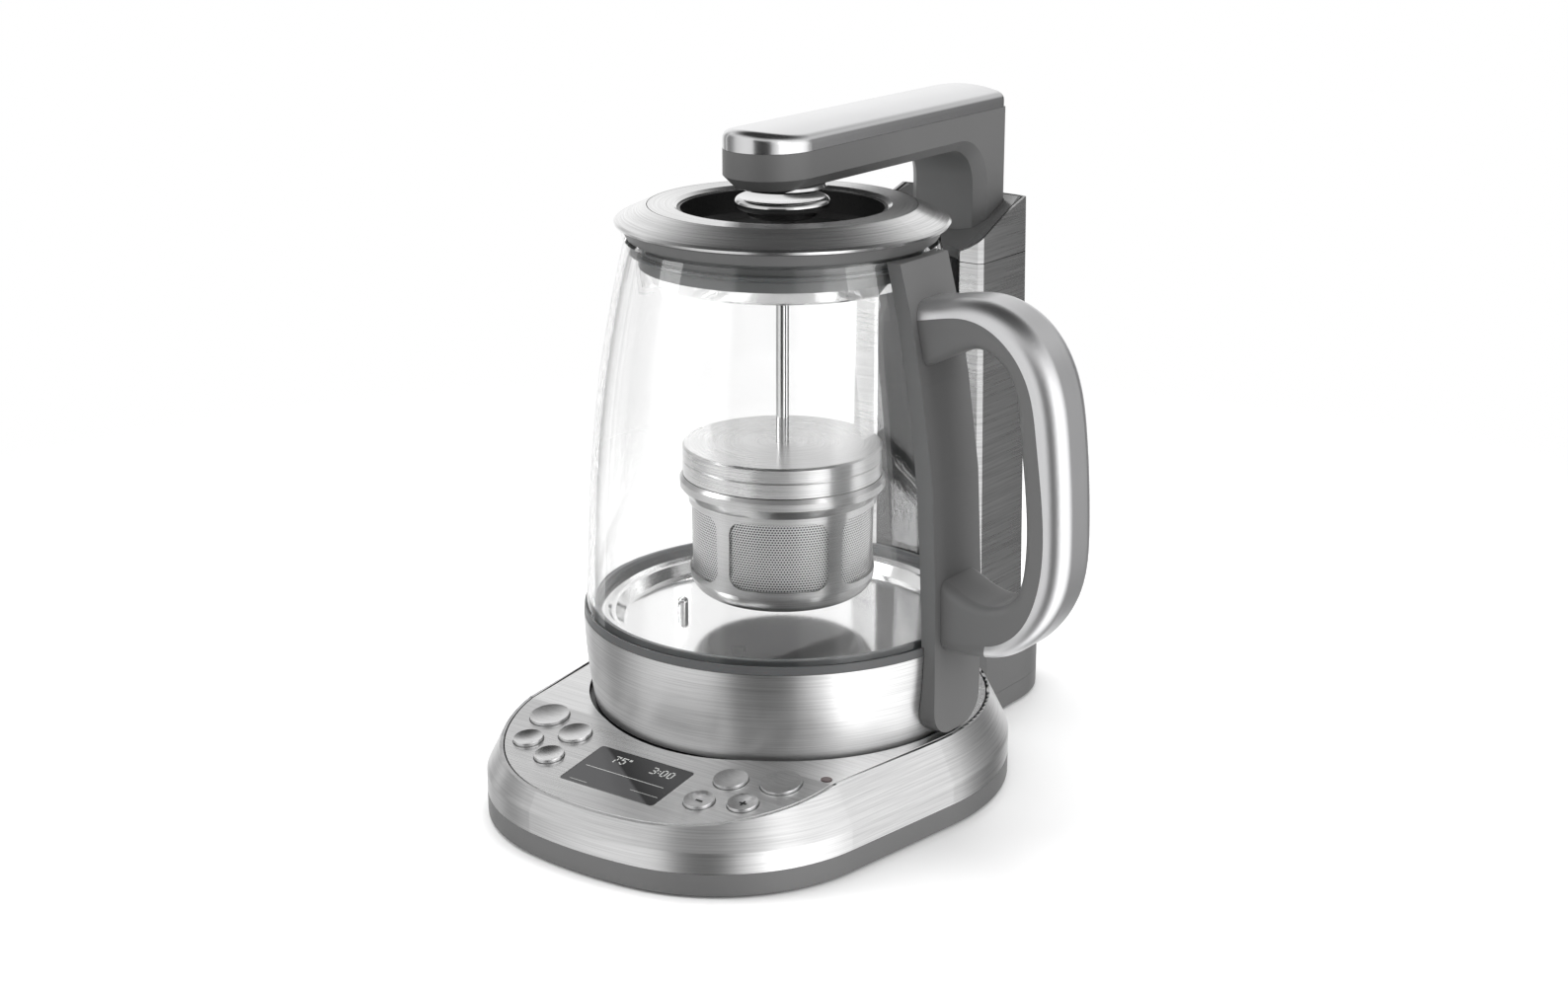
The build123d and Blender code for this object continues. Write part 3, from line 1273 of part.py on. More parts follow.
def basket_mesh():
    """Fine screen inside the cup's windows: one rolled sleeve."""
    low, high = WINDOW_LOW - MESH_LAP, WINDOW_TOP + MESH_LAP
    inset = CUP_WALL + JOIN
    return turned(
        (
            (cup_radius(low) - inset - MESH_T, low), (cup_radius(low) - inset, low),
            (cup_radius(high) - inset, high), (cup_radius(high) - inset - MESH_T, high),
        )
    )


# ---- every piece under its own name ---------------------------------------------------------------
PIECES = {
    "base_tray": base_tray,
    "rubber_feet": rubber_feet,
    "base_screws": base_screws,
    "base_shell": base_shell,
    "control_panel": control_panel,
    "seat_plate": seat_plate,
    "lower_connector": lower_connector,
    "control_board": control_board,
    "display_window": display_window,
    "lamp_lens": lamp_lens,
    "power_board": power_board,
    "tower_wrap": tower_wrap,
    "tower_trim": tower_trim,
    "niche_panel": niche_panel,
    "tower_foot": tower_foot,
    "cord_inlet": cord_inlet,
    "back_cover": back_cover,
    "tower_collar": collar,
    "lift_frame": lift_frame,
    "guide_rods": guide_rods,
    "lift_motor": lift_motor,
    "lead_screw": lead_screw,
    "arm_housing": arm_housing,
    "arm_cap": arm_cap,
    "coupler_ring": coupler_ring,
    "coupler_magnet": coupler_magnet,
    "lift_carriage": lift_carriage,
    "lift_nut": lift_nut,
    "jug_glass": jug_glass,
    "steel_band": steel_band,
    "band_gasket": band_gasket,
    "heater_plate": heater_plate,
    "heating_element": heating_element,
    "sensor_probe": sensor_probe,
    "upper_connector": upper_connector,
    "jug_bottom_cover": jug_bottom_cover,
    "handle_bracket": handle_bracket,
    "handle_shell": handle_shell,
    "handle_grip": handle_grip,
    "handle_screws": handle_screws,
    "lid_rim": lid_rim,
    "lid_ring": lid_ring,
    "lid_well": lid_well,
    "lid_body": lid_body,
    "lid_seal": lid_seal,
    "lid_pan": lid_pan,
    "rod_bush": rod_bush,
    "lift_knob": lift_knob,
    "lift_rod": lift_rod,
    "basket_cap": basket_cap,
    "basket_cup": basket_cup,
    "basket_mesh": basket_mesh,
}


def solids_of(shape):
    """Flat list of the solids in a piece."""
    if isinstance(shape, list):
        return [solid for one in shape for solid in one.solids()]
    return list(shape.solids())


def write(name, shape):
    """Store one piece as a STEP file."""
    export_step(Compound(children=solids_of(shape)), f"parts/{name}.step")


for name, make in PIECES.items():
    write(name, make())
for name, x, y, diameter in BUTTONS:
    write("button_" + name, placed_button(x, y, diameter))
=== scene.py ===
from math import atan, pi, radians

import bmesh
import bpy
from mathutils import Matrix, Vector


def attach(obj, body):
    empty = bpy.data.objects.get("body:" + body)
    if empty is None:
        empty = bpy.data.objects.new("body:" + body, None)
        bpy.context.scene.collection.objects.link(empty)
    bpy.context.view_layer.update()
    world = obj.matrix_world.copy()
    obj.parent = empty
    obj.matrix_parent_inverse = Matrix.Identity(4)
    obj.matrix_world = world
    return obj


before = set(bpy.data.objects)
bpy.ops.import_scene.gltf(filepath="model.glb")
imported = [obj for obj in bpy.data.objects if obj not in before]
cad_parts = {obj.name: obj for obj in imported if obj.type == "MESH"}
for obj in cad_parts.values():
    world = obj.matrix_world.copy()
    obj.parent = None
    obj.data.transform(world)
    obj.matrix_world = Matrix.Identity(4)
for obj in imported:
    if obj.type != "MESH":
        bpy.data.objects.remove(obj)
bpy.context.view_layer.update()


# ---- Studio ------------------------------------------------------------------------------------
# A white table in a white room. What metal and glass reflect is drawn in the world: softboxes and
# dark gaps round the horizon, an even light above them and a dark ceiling. The lamps give the soft
# shadow, and mirrors don't see them.
scene = bpy.context.scene
scene.view_settings.view_transform = "Standard"

CAMERA_PLACE = (0.5311, -0.7328, 0.3891)
CAMERA_TURN = (72.85, 0.0, 35.895)
CAMERA_LENS, CAMERA_SENSOR = 57.36, 36.0

camera_data = bpy.data.cameras.new("studio_camera")
camera_data.lens = CAMERA_LENS
camera_data.sensor_width = CAMERA_SENSOR
camera = bpy.data.objects.new("studio_camera", camera_data)
camera.location = CAMERA_PLACE
camera.rotation_euler = [radians(angle) for angle in CAMERA_TURN]
scene.collection.objects.link(camera)
scene.camera = camera


def linear(hex_colour):
    """An sRGB hex colour as linear RGBA."""
    parts = [int(hex_colour[k:k + 2], 16) / 255 for k in (1, 3, 5)]
    levels = [c / 12.92 if c <= 0.04045 else ((c + 0.055) / 1.055) ** 2.4 for c in parts]
    return (*levels, 1.0)


def add(tree, kind, inputs=(), **settings):
    """Adds a node. inputs maps its sockets to values or to other nodes' outputs."""
    made = tree.nodes.new(kind)
    for key, value in settings.items():
        setattr(made, key, value)
    for socket, value in dict(inputs).items():
        if isinstance(value, bpy.types.NodeSocket):
            tree.links.new(value, made.inputs[socket])
        else:
            made.inputs[socket].default_value = value
    return made


def softbox(name, place, target, size, watts):
    """A rectangular lamp that looks at target and that mirrors don't see."""
    data = bpy.data.lights.new(name, "AREA")
    data.shape = "RECTANGLE"
    data.size, data.size_y = size
    data.energy = watts
    lamp = bpy.data.objects.new(name, data)
    lamp.location = place
    lamp.rotation_euler = (Vector(target) - Vector(place)).to_track_quat("-Z", "Y").to_euler()
    lamp.visible_glossy = False
    scene.collection.objects.link(lamp)


MIDDLE = (0.0, 0.0, 0.12)
softbox("softbox_left", (-0.95, -0.75, 0.75), MIDDLE, (0.5, 1.0), 7.0)
softbox("softbox_right", (1.05, 0.10, 0.55), MIDDLE, (0.5, 1.0), 6.0)
softbox("softbox_over", (-0.25, 0.2, 1.25), MIDDLE, (1.0, 1.0), 13.0)

# Brightness of the room round the horizon: bearing in degrees from +X, linear level.
ROOM = (
    (-180, 0.20), (-166, 0.22), (-152, 0.38), (-142, 0.70), (-118, 0.85), (-106, 0.85), (-90, 0.85),
    (-86, 0.10), (-66, 0.04), (-47, 0.07), (-43, 0.55), (-26, 1.05), (-21, 2.00), (-6, 2.00),
    (-1, 1.40), (22, 1.40), (38, 1.10), (48, 0.38), (60, 0.10), (80, 0.08), (90, 0.38), (99, 0.75),
    (108, 1.02), (150, 1.02), (158, 0.60), (168, 0.20), (180, 0.20),
)
ROOM_HIGH, ROOM_DARK = 0.46, 0.88      # sine of the height where the room starts and ends darkening
CEILING = 0.05
EVEN_LOW, EVEN_HIGH = 0.18, 0.45       # sine of the height over which the room turns even all round
EVEN_LEVEL, EVEN_SHARE = 0.85, 0.75
MATT_LEVEL = 0.62                      # what matt surfaces receive from the whole room
BEHIND_GLASS = 1.20                    # makes up for what the glass walls take from the white room

world = bpy.data.worlds.new("studio_room")
world.use_nodes = True
world.cycles.sampling_method = "NONE"
scene.world = world
tree = world.node_tree
tree.nodes.clear()
way = add(tree, "ShaderNodeTexCoord")
axes = add(tree, "ShaderNodeSeparateXYZ", {0: way.outputs["Generated"]})
turn = add(tree, "ShaderNodeMath", {
    0: axes.outputs["Y"], 1: axes.outputs["X"],
}, operation="ARCTAN2")
turn = add(tree, "ShaderNodeMath", {
    0: turn.outputs[0], 1: 0.5 / pi, 2: 0.5,
}, operation="MULTIPLY_ADD")
room = add(tree, "ShaderNodeValToRGB", {0: turn.outputs[0]})
for stop, (bearing, level) in enumerate(ROOM):
    place = bearing / 360 + 0.5
    mark = room.color_ramp.elements[0] if stop == 0 else room.color_ramp.elements.new(place)
    mark.position = place
    mark.color = (level, level, level, 1.0)
room.color_ramp.elements.remove(room.color_ramp.elements[-1])
dim = add(tree, "ShaderNodeMapRange", {
    0: axes.outputs["Z"], 1: ROOM_HIGH, 2: ROOM_DARK, 3: 1.0, 4: CEILING,
}, interpolation_type="SMOOTHSTEP")
even = add(tree, "ShaderNodeMapRange", {
    0: axes.outputs["Z"], 1: EVEN_LOW, 2: EVEN_HIGH, 3: 0.0, 4: EVEN_SHARE,
}, interpolation_type="SMOOTHSTEP")
soft = add(tree, "ShaderNodeMix", {0: even.outputs[0], 2: room.outputs["Color"], 3: EVEN_LEVEL})
studio = add(tree, "ShaderNodeMath", {0: soft.outputs[0], 1: dim.outputs[0]}, operation="MULTIPLY")
path = add(tree, "ShaderNodeLightPath")
mirrored = add(tree, "ShaderNodeMath", {
    0: path.outputs["Glossy Depth"], 1: 0.5,
}, operation="GREATER_THAN")
matt = add(tree, "ShaderNodeMath", {
    0: path.outputs["Diffuse Depth"], 1: 0.5,
}, operation="GREATER_THAN")
through = add(tree, "ShaderNodeMath", {
    0: path.outputs["Transmission Depth"], 1: 0.5,
}, operation="GREATER_THAN")
gain = add(tree, "ShaderNodeMix", {0: through.outputs[0], 2: 1.0, 3: BEHIND_GLASS})
level = add(tree, "ShaderNodeMix", {0: mirrored.outputs[0], 2: 1.0, 3: studio.outputs[0]})
level = add(tree, "ShaderNodeMath", {0: level.outputs[0], 1: gain.outputs[0]}, operation="MULTIPLY")
level = add(tree, "ShaderNodeMix", {0: matt.outputs[0], 2: level.outputs[0], 3: MATT_LEVEL})
back = add(tree, "ShaderNodeBackground", {"Color": (1, 1, 1, 1), "Strength": level.outputs[0]})
add(tree, "ShaderNodeOutputWorld", {"Surface": back.outputs[0]})


def new_material(name):
    """An empty node material and its tree."""
    made = bpy.data.materials.new(name)
    made.use_nodes = True
    made.node_tree.nodes.clear()
    return made, made.node_tree


def put(name, mesh, material, body=None):
    """Links a mesh as a piece, with its material and the body it rides on."""
    piece = bpy.data.objects.new(name, mesh)
    scene.collection.objects.link(piece)
    mesh.materials.append(material)
    if body:
        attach(piece, body)
    return piece


FADE_NEAR, FADE_FAR = 0.24, 0.62      # distance from the jug's axis over which the table fades


def white_table():
    """Matt white laminate that fades into the white room away from the object."""
    material, tree = new_material("matt_white_laminate")
    where = add(tree, "ShaderNodeNewGeometry")
    away = add(tree, "ShaderNodeVectorMath", {0: where.outputs["Position"]}, operation="LENGTH")
    fade = add(tree, "ShaderNodeMapRange", {
        0: away.outputs["Value"], 1: FADE_NEAR, 2: FADE_FAR,
    }, interpolation_type="SMOOTHSTEP")
    paint = add(tree, "ShaderNodeBsdfDiffuse", {"Color": linear("#f6f6f6")})
    clear = add(tree, "ShaderNodeBsdfTransparent")
    mixed = add(tree, "ShaderNodeMixShader", {
        0: fade.outputs[0], 1: paint.outputs[0], 2: clear.outputs[0],
    })
    add(tree, "ShaderNodeOutputMaterial", {"Surface": mixed.outputs[0]})
    return material


TABLE_REACH, TABLE_DROP = 1.5, 0.0002
sheet = bpy.data.meshes.new("table_top")
corners = [(-1, -1), (1, -1), (1, 1), (-1, 1)]
sheet.from_pydata([(TABLE_REACH * x, TABLE_REACH * y, -TABLE_DROP) for x, y in corners],
                  [], [(0, 1, 2, 3)])
table = put("table_top", sheet, white_table())
table.visible_glossy = False


# ---- Base: skirt, steel shell and rubber feet --------------------------------------------------
# A moulded ABS skirt stands on rubber feet and carries a deep-drawn stainless shell, brushed
# along its length, whose shoulder leans in to the control panel and the jug's seat.
def moulded_abs(name, hex_colour, rough=0.42):
    """Injection-moulded ABS with a spark-eroded texture: matt, with a fine even grain."""
    material, tree = new_material(name)
    place = add(tree, "ShaderNodeTexCoord")
    grain = add(tree, "ShaderNodeTexNoise", {
        "Vector": place.outputs["Object"], "Scale": 1 / 0.00035, "Detail": 3.0,
    })
    cloud = add(tree, "ShaderNodeTexNoise", {
        "Vector": place.outputs["Object"], "Scale": 1 / 0.03, "Detail": 2.0,
    })
    tint = linear(hex_colour)
    dark = tuple(c * 0.93 for c in tint[:3]) + (1.0,)
    colour = add(tree, "ShaderNodeMix", {
        0: cloud.outputs["Fac"], 6: dark, 7: tint,
    }, data_type="RGBA")
    gloss = add(tree, "ShaderNodeMapRange", {
        0: grain.outputs["Fac"], 1: 0.3, 2: 0.7, 3: rough - 0.05, 4: rough + 0.08,
    })
    relief = add(tree, "ShaderNodeBump", {
        "Height": grain.outputs["Fac"], "Strength": 0.12, "Distance": 0.00005,
    })
    shader = add(tree, "ShaderNodeBsdfPrincipled", {
        "Base Color": colour.outputs[2], "Roughness": gloss.outputs[0],
        "Normal": relief.outputs[0], "IOR": 1.52,
    })
    add(tree, "ShaderNodeOutputMaterial", {"Surface": shader.outputs[0]})
    return material


MEAN_R = 0.05          # radius at which a turned face's scratches have the stated length


def brushed_stainless(name, hex_colour, run, rough=0.26, spread=0.7, line=0.0005, length=0.04,
                      relief=0.25):
    """Stainless sheet brushed with a fine belt: scratches along the brushing, a soft glint across.

    The scratches are drawn coarser than real ones, so that they show across the whole object. run is
    "level" for walls brushed along the horizontal, "round" for a face turned on a lathe about the
    jug's axis, or "X" for a flat sheet brushed from side to side.
    """
    material, tree = new_material(name)
    place = add(tree, "ShaderNodeTexCoord")
    axes = add(tree, "ShaderNodeSeparateXYZ", {0: place.outputs["Object"]})
    if run == "round":
        flat = add(tree, "ShaderNodeCombineXYZ", {0: axes.outputs["X"], 1: axes.outputs["Y"]})
        out = add(tree, "ShaderNodeVectorMath", {0: flat.outputs[0]}, operation="LENGTH")
        turn = add(tree, "ShaderNodeMath", {
            0: axes.outputs["Y"], 1: axes.outputs["X"],
        }, operation="ARCTAN2")
        around = add(tree, "ShaderNodeMath", {
            0: turn.outputs[0], 1: MEAN_R / length,
        }, operation="MULTIPLY")
        wide = add(tree, "ShaderNodeMath", {
            0: out.outputs["Value"], 1: 1 / line,
        }, operation="MULTIPLY")
        high = add(tree, "ShaderNodeMath", {
            0: axes.outputs["Z"], 1: 1 / line,
        }, operation="MULTIPLY")
        where = add(tree, "ShaderNodeCombineXYZ", {
            0: around.outputs[0], 1: wide.outputs[0], 2: high.outputs[0],
        })
        along = add(tree, "ShaderNodeTangent", direction_type="RADIAL", axis="Z").outputs[0]
    elif run == "level":
        scale = (1 / length, 1 / length, 1 / line)
        where = add(tree, "ShaderNodeVectorMath", {
            0: place.outputs["Object"], 1: scale,
        }, operation="MULTIPLY")
        face = add(tree, "ShaderNodeNewGeometry")
        along = add(tree, "ShaderNodeVectorMath", {
            0: (0, 0, 1), 1: face.outputs["Normal"],
        }, operation="CROSS_PRODUCT").outputs[0]
    else:
        scale = (1 / length, 1 / line, 1 / line)
        where = add(tree, "ShaderNodeVectorMath", {
            0: place.outputs["Object"], 1: scale,
        }, operation="MULTIPLY")
        along = add(tree, "ShaderNodeCombineXYZ", {0: 1.0}).outputs[0]
    lines = add(tree, "ShaderNodeTexNoise", {
        "Vector": where.outputs[0], "Scale": 1.0, "Detail": 3.0, "Roughness": 0.6,
    })
    shade = add(tree, "ShaderNodeTexNoise", {
        "Vector": place.outputs["Object"], "Scale": 1 / 0.05, "Detail": 1.0,
    })
    tint = linear(hex_colour)
    dark = tuple(c * 0.76 for c in tint[:3]) + (1.0,)
    streaks = add(tree, "ShaderNodeMapRange", {0: lines.outputs["Fac"], 1: 0.3, 2: 0.65})
    colour = add(tree, "ShaderNodeMix", {0: streaks.outputs[0], 6: dark, 7: tint}, data_type="RGBA")
    mixed = add(tree, "ShaderNodeMath", {
        0: lines.outputs["Fac"], 1: 0.5, 2: shade.outputs["Fac"],
    }, operation="MULTIPLY_ADD")
    gloss = add(tree, "ShaderNodeMapRange", {
        0: mixed.outputs[0], 1: 0.4, 2: 1.1, 3: rough - 0.04, 4: rough + 0.05,
    })
    bump = add(tree, "ShaderNodeBump", {
        "Height": lines.outputs["Fac"], "Strength": relief, "Distance": 0.00003,
    })
    shader = add(tree, "ShaderNodeBsdfPrincipled", {
        "Base Color": colour.outputs[2], "Roughness": gloss.outputs[0], "Normal": bump.outputs[0],
        "Metallic": 1.0, "Anisotropic": spread, "Anisotropic Rotation": 0.25, "Tangent": along,
    })
    add(tree, "ShaderNodeOutputMaterial", {"Surface": shader.outputs[0]})
    return material


def foot_rubber():
    """Moulded nitrile rubber: black, matt and slightly dusty."""
    material, tree = new_material("moulded_nitrile_rubber")
    place = add(tree, "ShaderNodeTexCoord")
    dust = add(tree, "ShaderNodeTexNoise", {
        "Vector": place.outputs["Object"], "Scale": 1 / 0.004, "Detail": 4.0,
    })
    colour = add(tree, "ShaderNodeMix", {
        0: dust.outputs["Fac"], 6: linear("#141414"), 7: linear("#262626"),
    }, data_type="RGBA")
    shader = add(tree, "ShaderNodeBsdfPrincipled", {
        "Base Color": colour.outputs[2], "Roughness": 0.75,
    })
    add(tree, "ShaderNodeOutputMaterial", {"Surface": shader.outputs[0]})
    return material


def dress(material, *names):
    """Gives CAD nodes a material in place of their plain one."""
    for name in names:
        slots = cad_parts[name].data.materials
        slots.clear()
        slots.append(material)


grey_abs = moulded_abs("moulded_grey_abs", "#6b6b6b")
black_abs = moulded_abs("moulded_black_abs", "#1b1b1c", 0.36)
rubber = foot_rubber()
dress(rubber, "rubber_feet", "cord_inlet")
dress(grey_abs, "base_tray")
dress(brushed_stainless("brushed_stainless_shell", "#fafafa", "level", 0.40, 0.8), "base_shell")
dress(black_abs, "seat_plate", "lower_connector")


# ---- Control panel and its keys ----------------------------------------------------------------
# A laser-cut stainless sheet, brushed from side to side, dropped into the shell's rim. Eight zinc
# keys with rolled rims and dished faces stand through it. Only minus and plus are printed.
MM = 0.001
TOP, FOLD_Y, SLOPE = 32.0, -67.0, 0.1536
TILT = atan(SLOPE)
KEYS = {
    "button_large_left": (-53.9, -75.1), "button_large_right": (53.9, -75.1),
    "button_medium_left": (-36.2, -81.2), "button_medium_right": (36.2, -81.2),
    "button_outer_left": (-49.7, -92.1), "button_plus": (49.7, -92.1),
    "button_inner_left": (-34.7, -97.7), "button_minus": (34.7, -97.7),
}
KEY_FACE = 0.9         # rim of the dished face above the panel
KEY_DISH = 0.5
INK_LIFT = 0.12        # keeps the signs' ends clear of the dished face
SIGN_LONG, SIGN_WIDE = 3.0, 0.75


def on_panel(x, y, lift=0.0):
    """Place on the sloping panel, its own Z along the panel's normal, in mm."""
    spot = Matrix.Translation((x, y, TOP + (y - FOLD_Y) * SLOPE))
    return spot @ Matrix.Rotation(TILT, 4, "X") @ Matrix.Translation((0, 0, lift))


def plates(name, rectangles, place, thick=0.04):
    """Thin raised rectangles, given by centre and size in mm, laid on a placed plane."""
    mesh = bpy.data.meshes.new(name)
    form = bmesh.new()
    for x, y, wide, high in rectangles:
        made = bmesh.ops.create_cube(form, size=1.0)
        shape = Matrix.Translation((x, y, thick / 2)) @ Matrix.Diagonal((wide, high, thick, 1.0))
        bmesh.ops.transform(form, matrix=Matrix.Scale(MM, 4) @ place @ shape, verts=made["verts"])
    form.to_mesh(mesh)
    form.free()
    return mesh


def printed_ink(name, hex_colour, rough=0.5):
    """Screen-printed epoxy ink: flat colour with slightly uneven cover."""
    material, tree = new_material(name)
    place = add(tree, "ShaderNodeTexCoord")
    cover = add(tree, "ShaderNodeTexNoise", {
        "Vector": place.outputs["Object"], "Scale": 1 / 0.0003, "Detail": 2.0,
    })
    tint = linear(hex_colour)
    thin = tuple(min(1.0, c * 1.12 + 0.01) for c in tint[:3]) + (1.0,)
    colour = add(tree, "ShaderNodeMix", {
        0: cover.outputs["Fac"], 6: tint, 7: thin,
    }, data_type="RGBA")
    shader = add(tree, "ShaderNodeBsdfPrincipled", {
        "Base Color": colour.outputs[2], "Roughness": rough,
    })
    add(tree, "ShaderNodeOutputMaterial", {"Surface": shader.outputs[0]})
    return material


panel_steel = brushed_stainless("brushed_stainless_panel", "#f8f8f8", "X", 0.28, 0.6)
dress(panel_steel, "control_panel")
key_metal = brushed_stainless("satin_plated_zinc_keys", "#f2f2f2", "X", 0.30, 0.3, line=0.0003,
                              relief=0.15)
dress(key_metal, *KEYS)
black_ink = printed_ink("printed_black_ink", "#202020")
sign_lift = KEY_FACE - KEY_DISH + INK_LIFT
bar, post = (0, 0, SIGN_LONG, SIGN_WIDE), (0, 0, SIGN_WIDE, SIGN_LONG)
minus = plates("minus_sign", [bar], on_panel(*KEYS["button_minus"], sign_lift))
plus = plates("plus_sign", [bar, post], on_panel(*KEYS["button_plus"], sign_lift))
put("minus_sign", minus, black_ink, "button_minus")
put("plus_sign", plus, black_ink, "button_plus")


# ---- Display and lamp --------------------------------------------------------------------------
# A smoked acrylic window over a dot-matrix display: pale dots spell a temperature and a time, with
# thin rules between the fields. The lamp is a red polycarbonate lens in a dark ring.
DISPLAY_Y = -95.3
DISPLAY_TOP = -0.1     # window's face below the panel
REFLECTION_SLANT = 0.645     # slope of the painted reflection's diagonal edge, mm per mm
DOT, PITCH, DOT_THICK = 0.50, 0.62, 0.03
GLYPHS = {
    "7": ("1111", "0001", "0010", "0010", "0100", "0100", "0100"),
    "5": ("1111", "1000", "1110", "0001", "0001", "1001", "0110"),
    "3": ("1110", "0001", "0001", "0110", "0001", "0001", "1110"),
    "0": ("0110", "1001", "1001", "1001", "1001", "1001", "0110"),
    ":": ("0", "0", "1", "0", "1", "0", "0"),
    "'": ("11", "11", "00", "00", "00", "00", "00"),
}


def dots(text, left, top):
    """Squares of a dot-matrix text, from its top left corner in mm."""
    made = []
    for letter in text:
        rows = GLYPHS[letter]
        for down, row in enumerate(rows):
            columns = [across for across, lit in enumerate(row) if lit == "1"]
            made += [(left + across * PITCH, top - down * PITCH, DOT, DOT) for across in columns]
        left += (len(rows[0]) + 1) * PITCH
    return made


def smoked_acrylic():
    """Smoked acrylic, polished: dark grey, with a painted reflection: paler grey below a diagonal
    edge.
    """
    material, tree = new_material("smoked_acrylic")
    place = add(tree, "ShaderNodeTexCoord")
    axes = add(tree, "ShaderNodeSeparateXYZ", {0: place.outputs["Object"]})
    # Painted reflection: paler grey below a diagonal edge, a dark wedge above it lightening away
    # from it.
    fall = add(tree, "ShaderNodeMath", {
        0: axes.outputs["X"], 1: REFLECTION_SLANT, 2: -DISPLAY_Y * MM,
    }, operation="MULTIPLY_ADD")
    side = add(tree, "ShaderNodeMath", {0: axes.outputs["Y"], 1: fall.outputs[0]})
    edge = add(tree, "ShaderNodeMapRange", {0: side.outputs[0], 1: -0.0009, 2: 0.0006})
    deep = add(tree, "ShaderNodeMapRange", {0: side.outputs[0], 1: 0.0, 2: 0.016})
    upper = add(tree, "ShaderNodeMix", {
        0: deep.outputs[0], 6: linear("#141415"), 7: linear("#363637"),
    }, data_type="RGBA")
    colour = add(tree, "ShaderNodeMix", {
        0: edge.outputs[0], 6: linear("#474748"), 7: upper.outputs[2],
    }, data_type="RGBA")
    grain = add(tree, "ShaderNodeTexNoise", {
        "Vector": place.outputs["Object"], "Scale": 1 / 0.0002, "Detail": 2.0,
    })
    gloss = add(tree, "ShaderNodeMapRange", {0: grain.outputs["Fac"], 3: 0.10, 4: 0.18})
    shader = add(tree, "ShaderNodeBsdfPrincipled", {
        "Base Color": colour.outputs[2], "Roughness": gloss.outputs[0], "IOR": 1.49,
        "Specular IOR Level": 0.35,
    })
    add(tree, "ShaderNodeOutputMaterial", {"Surface": shader.outputs[0]})
    return material


def red_lens():
    """Red polycarbonate, moulded clear: deep red, mottled a little lighter in places."""
    material, tree = new_material("red_polycarbonate")
    place = add(tree, "ShaderNodeTexCoord")
    rings = add(tree, "ShaderNodeTexNoise", {
        "Vector": place.outputs["Object"], "Scale": 1 / 0.0012, "Detail": 1.0,
    })
    colour = add(tree, "ShaderNodeMix", {
        0: rings.outputs["Fac"], 6: linear("#1c0808"), 7: linear("#421212"),
    }, data_type="RGBA")
    shader = add(tree, "ShaderNodeBsdfPrincipled", {
        "Base Color": colour.outputs[2], "Roughness": 0.12, "IOR": 1.58, "Coat Weight": 0.5,
        "Coat Roughness": 0.03,
    })
    add(tree, "ShaderNodeOutputMaterial", {"Surface": shader.outputs[0]})
    return material


dress(smoked_acrylic(), "display_window")
dress(red_lens(), "lamp_lens")
RULES = [(-0.5, -0.85, 35.8, 0.22), (13.4, -7.1, 12.4, 0.14), (-14.1, -10.6, 7.9, 0.14)]
LIT = dots("75'", -11.4, 9.0) + dots("3:00", 6.2, 9.0) + RULES
pale_dots = printed_ink("lit_display_dots", "#c9cac8", 0.3)
figures = plates("display_figures", LIT, on_panel(0, DISPLAY_Y, DISPLAY_TOP), DOT_THICK)
put("display_figures", figures, pale_dots, "base")


# ---- Tower and its drive -----------------------------------------------------------------------
# A folded stainless skin, brushed along the horizontal, wraps the sides of a channel lined in black
# ABS. The plinth, the back and the dished collar are grey ABS. The motor, screw and carriage are
# inside.
wall_steel = brushed_stainless("brushed_stainless_wall", "#e2e2e2", "level", 0.27, 0.6, line=0.0008,
                               relief=0.04)
dress(wall_steel, "tower_wrap", "tower_trim")
dress(black_abs, "niche_panel")
dress(grey_abs, "tower_foot", "back_cover")
collar_abs = moulded_abs("polished_grey_abs", "#565656", 0.18)
dress(collar_abs, "tower_collar")


def machined(name, hex_colour, rough):
    """Turned or ground metal: fine rings round the part's own axis, a soft glint."""
    material, tree = new_material(name)
    place = add(tree, "ShaderNodeTexCoord")
    scale = (1 / 0.02, 1 / 0.02, 1 / 0.0004)
    where = add(tree, "ShaderNodeVectorMath", {
        0: place.outputs["Object"], 1: scale,
    }, operation="MULTIPLY")
    lines = add(tree, "ShaderNodeTexNoise", {
        "Vector": where.outputs[0], "Scale": 1.0, "Detail": 2.0,
    })
    tint = linear(hex_colour)
    dark = tuple(c * 0.85 for c in tint[:3]) + (1.0,)
    colour = add(tree, "ShaderNodeMix", {
        0: lines.outputs["Fac"], 6: dark, 7: tint,
    }, data_type="RGBA")
    gloss = add(tree, "ShaderNodeMapRange", {
        0: lines.outputs["Fac"], 3: rough - 0.06, 4: rough + 0.06,
    })
    shader = add(tree, "ShaderNodeBsdfPrincipled", {
        "Base Color": colour.outputs[2], "Roughness": gloss.outputs[0], "Metallic": 1.0,
    })
    add(tree, "ShaderNodeOutputMaterial", {"Surface": shader.outputs[0]})
    return material


ground_steel = machined("ground_tool_steel", "#b9bbbd", 0.22)
plated_steel = machined("zinc_plated_steel", "#a9abac", 0.35)
dress(ground_steel, "guide_rods", "lead_screw")
dress(plated_steel, "lift_motor", "base_screws", "handle_screws", "heating_element")
dress(machined("turned_brass", "#c79a4b", 0.25), "lift_nut")
dress(black_abs, "lift_frame", "lift_carriage")


def lacquered_board():
    """Glass-fibre board under green solder mask: the copper tracks show as paler bands."""
    material, tree = new_material("green_solder_mask")
    place = add(tree, "ShaderNodeTexCoord")
    tracks = add(tree, "ShaderNodeTexBrick", {
        "Vector": place.outputs["Object"], "Color1": linear("#14502b"),
        "Color2": linear("#1a5f33"), "Mortar": linear("#0c3a1e"), "Scale": 1 / 0.01,
        "Mortar Size": 0.03,
    })
    shader = add(tree, "ShaderNodeBsdfPrincipled", {
        "Base Color": tracks.outputs["Color"], "Roughness": 0.3,
    })
    add(tree, "ShaderNodeOutputMaterial", {"Surface": shader.outputs[0]})
    return material


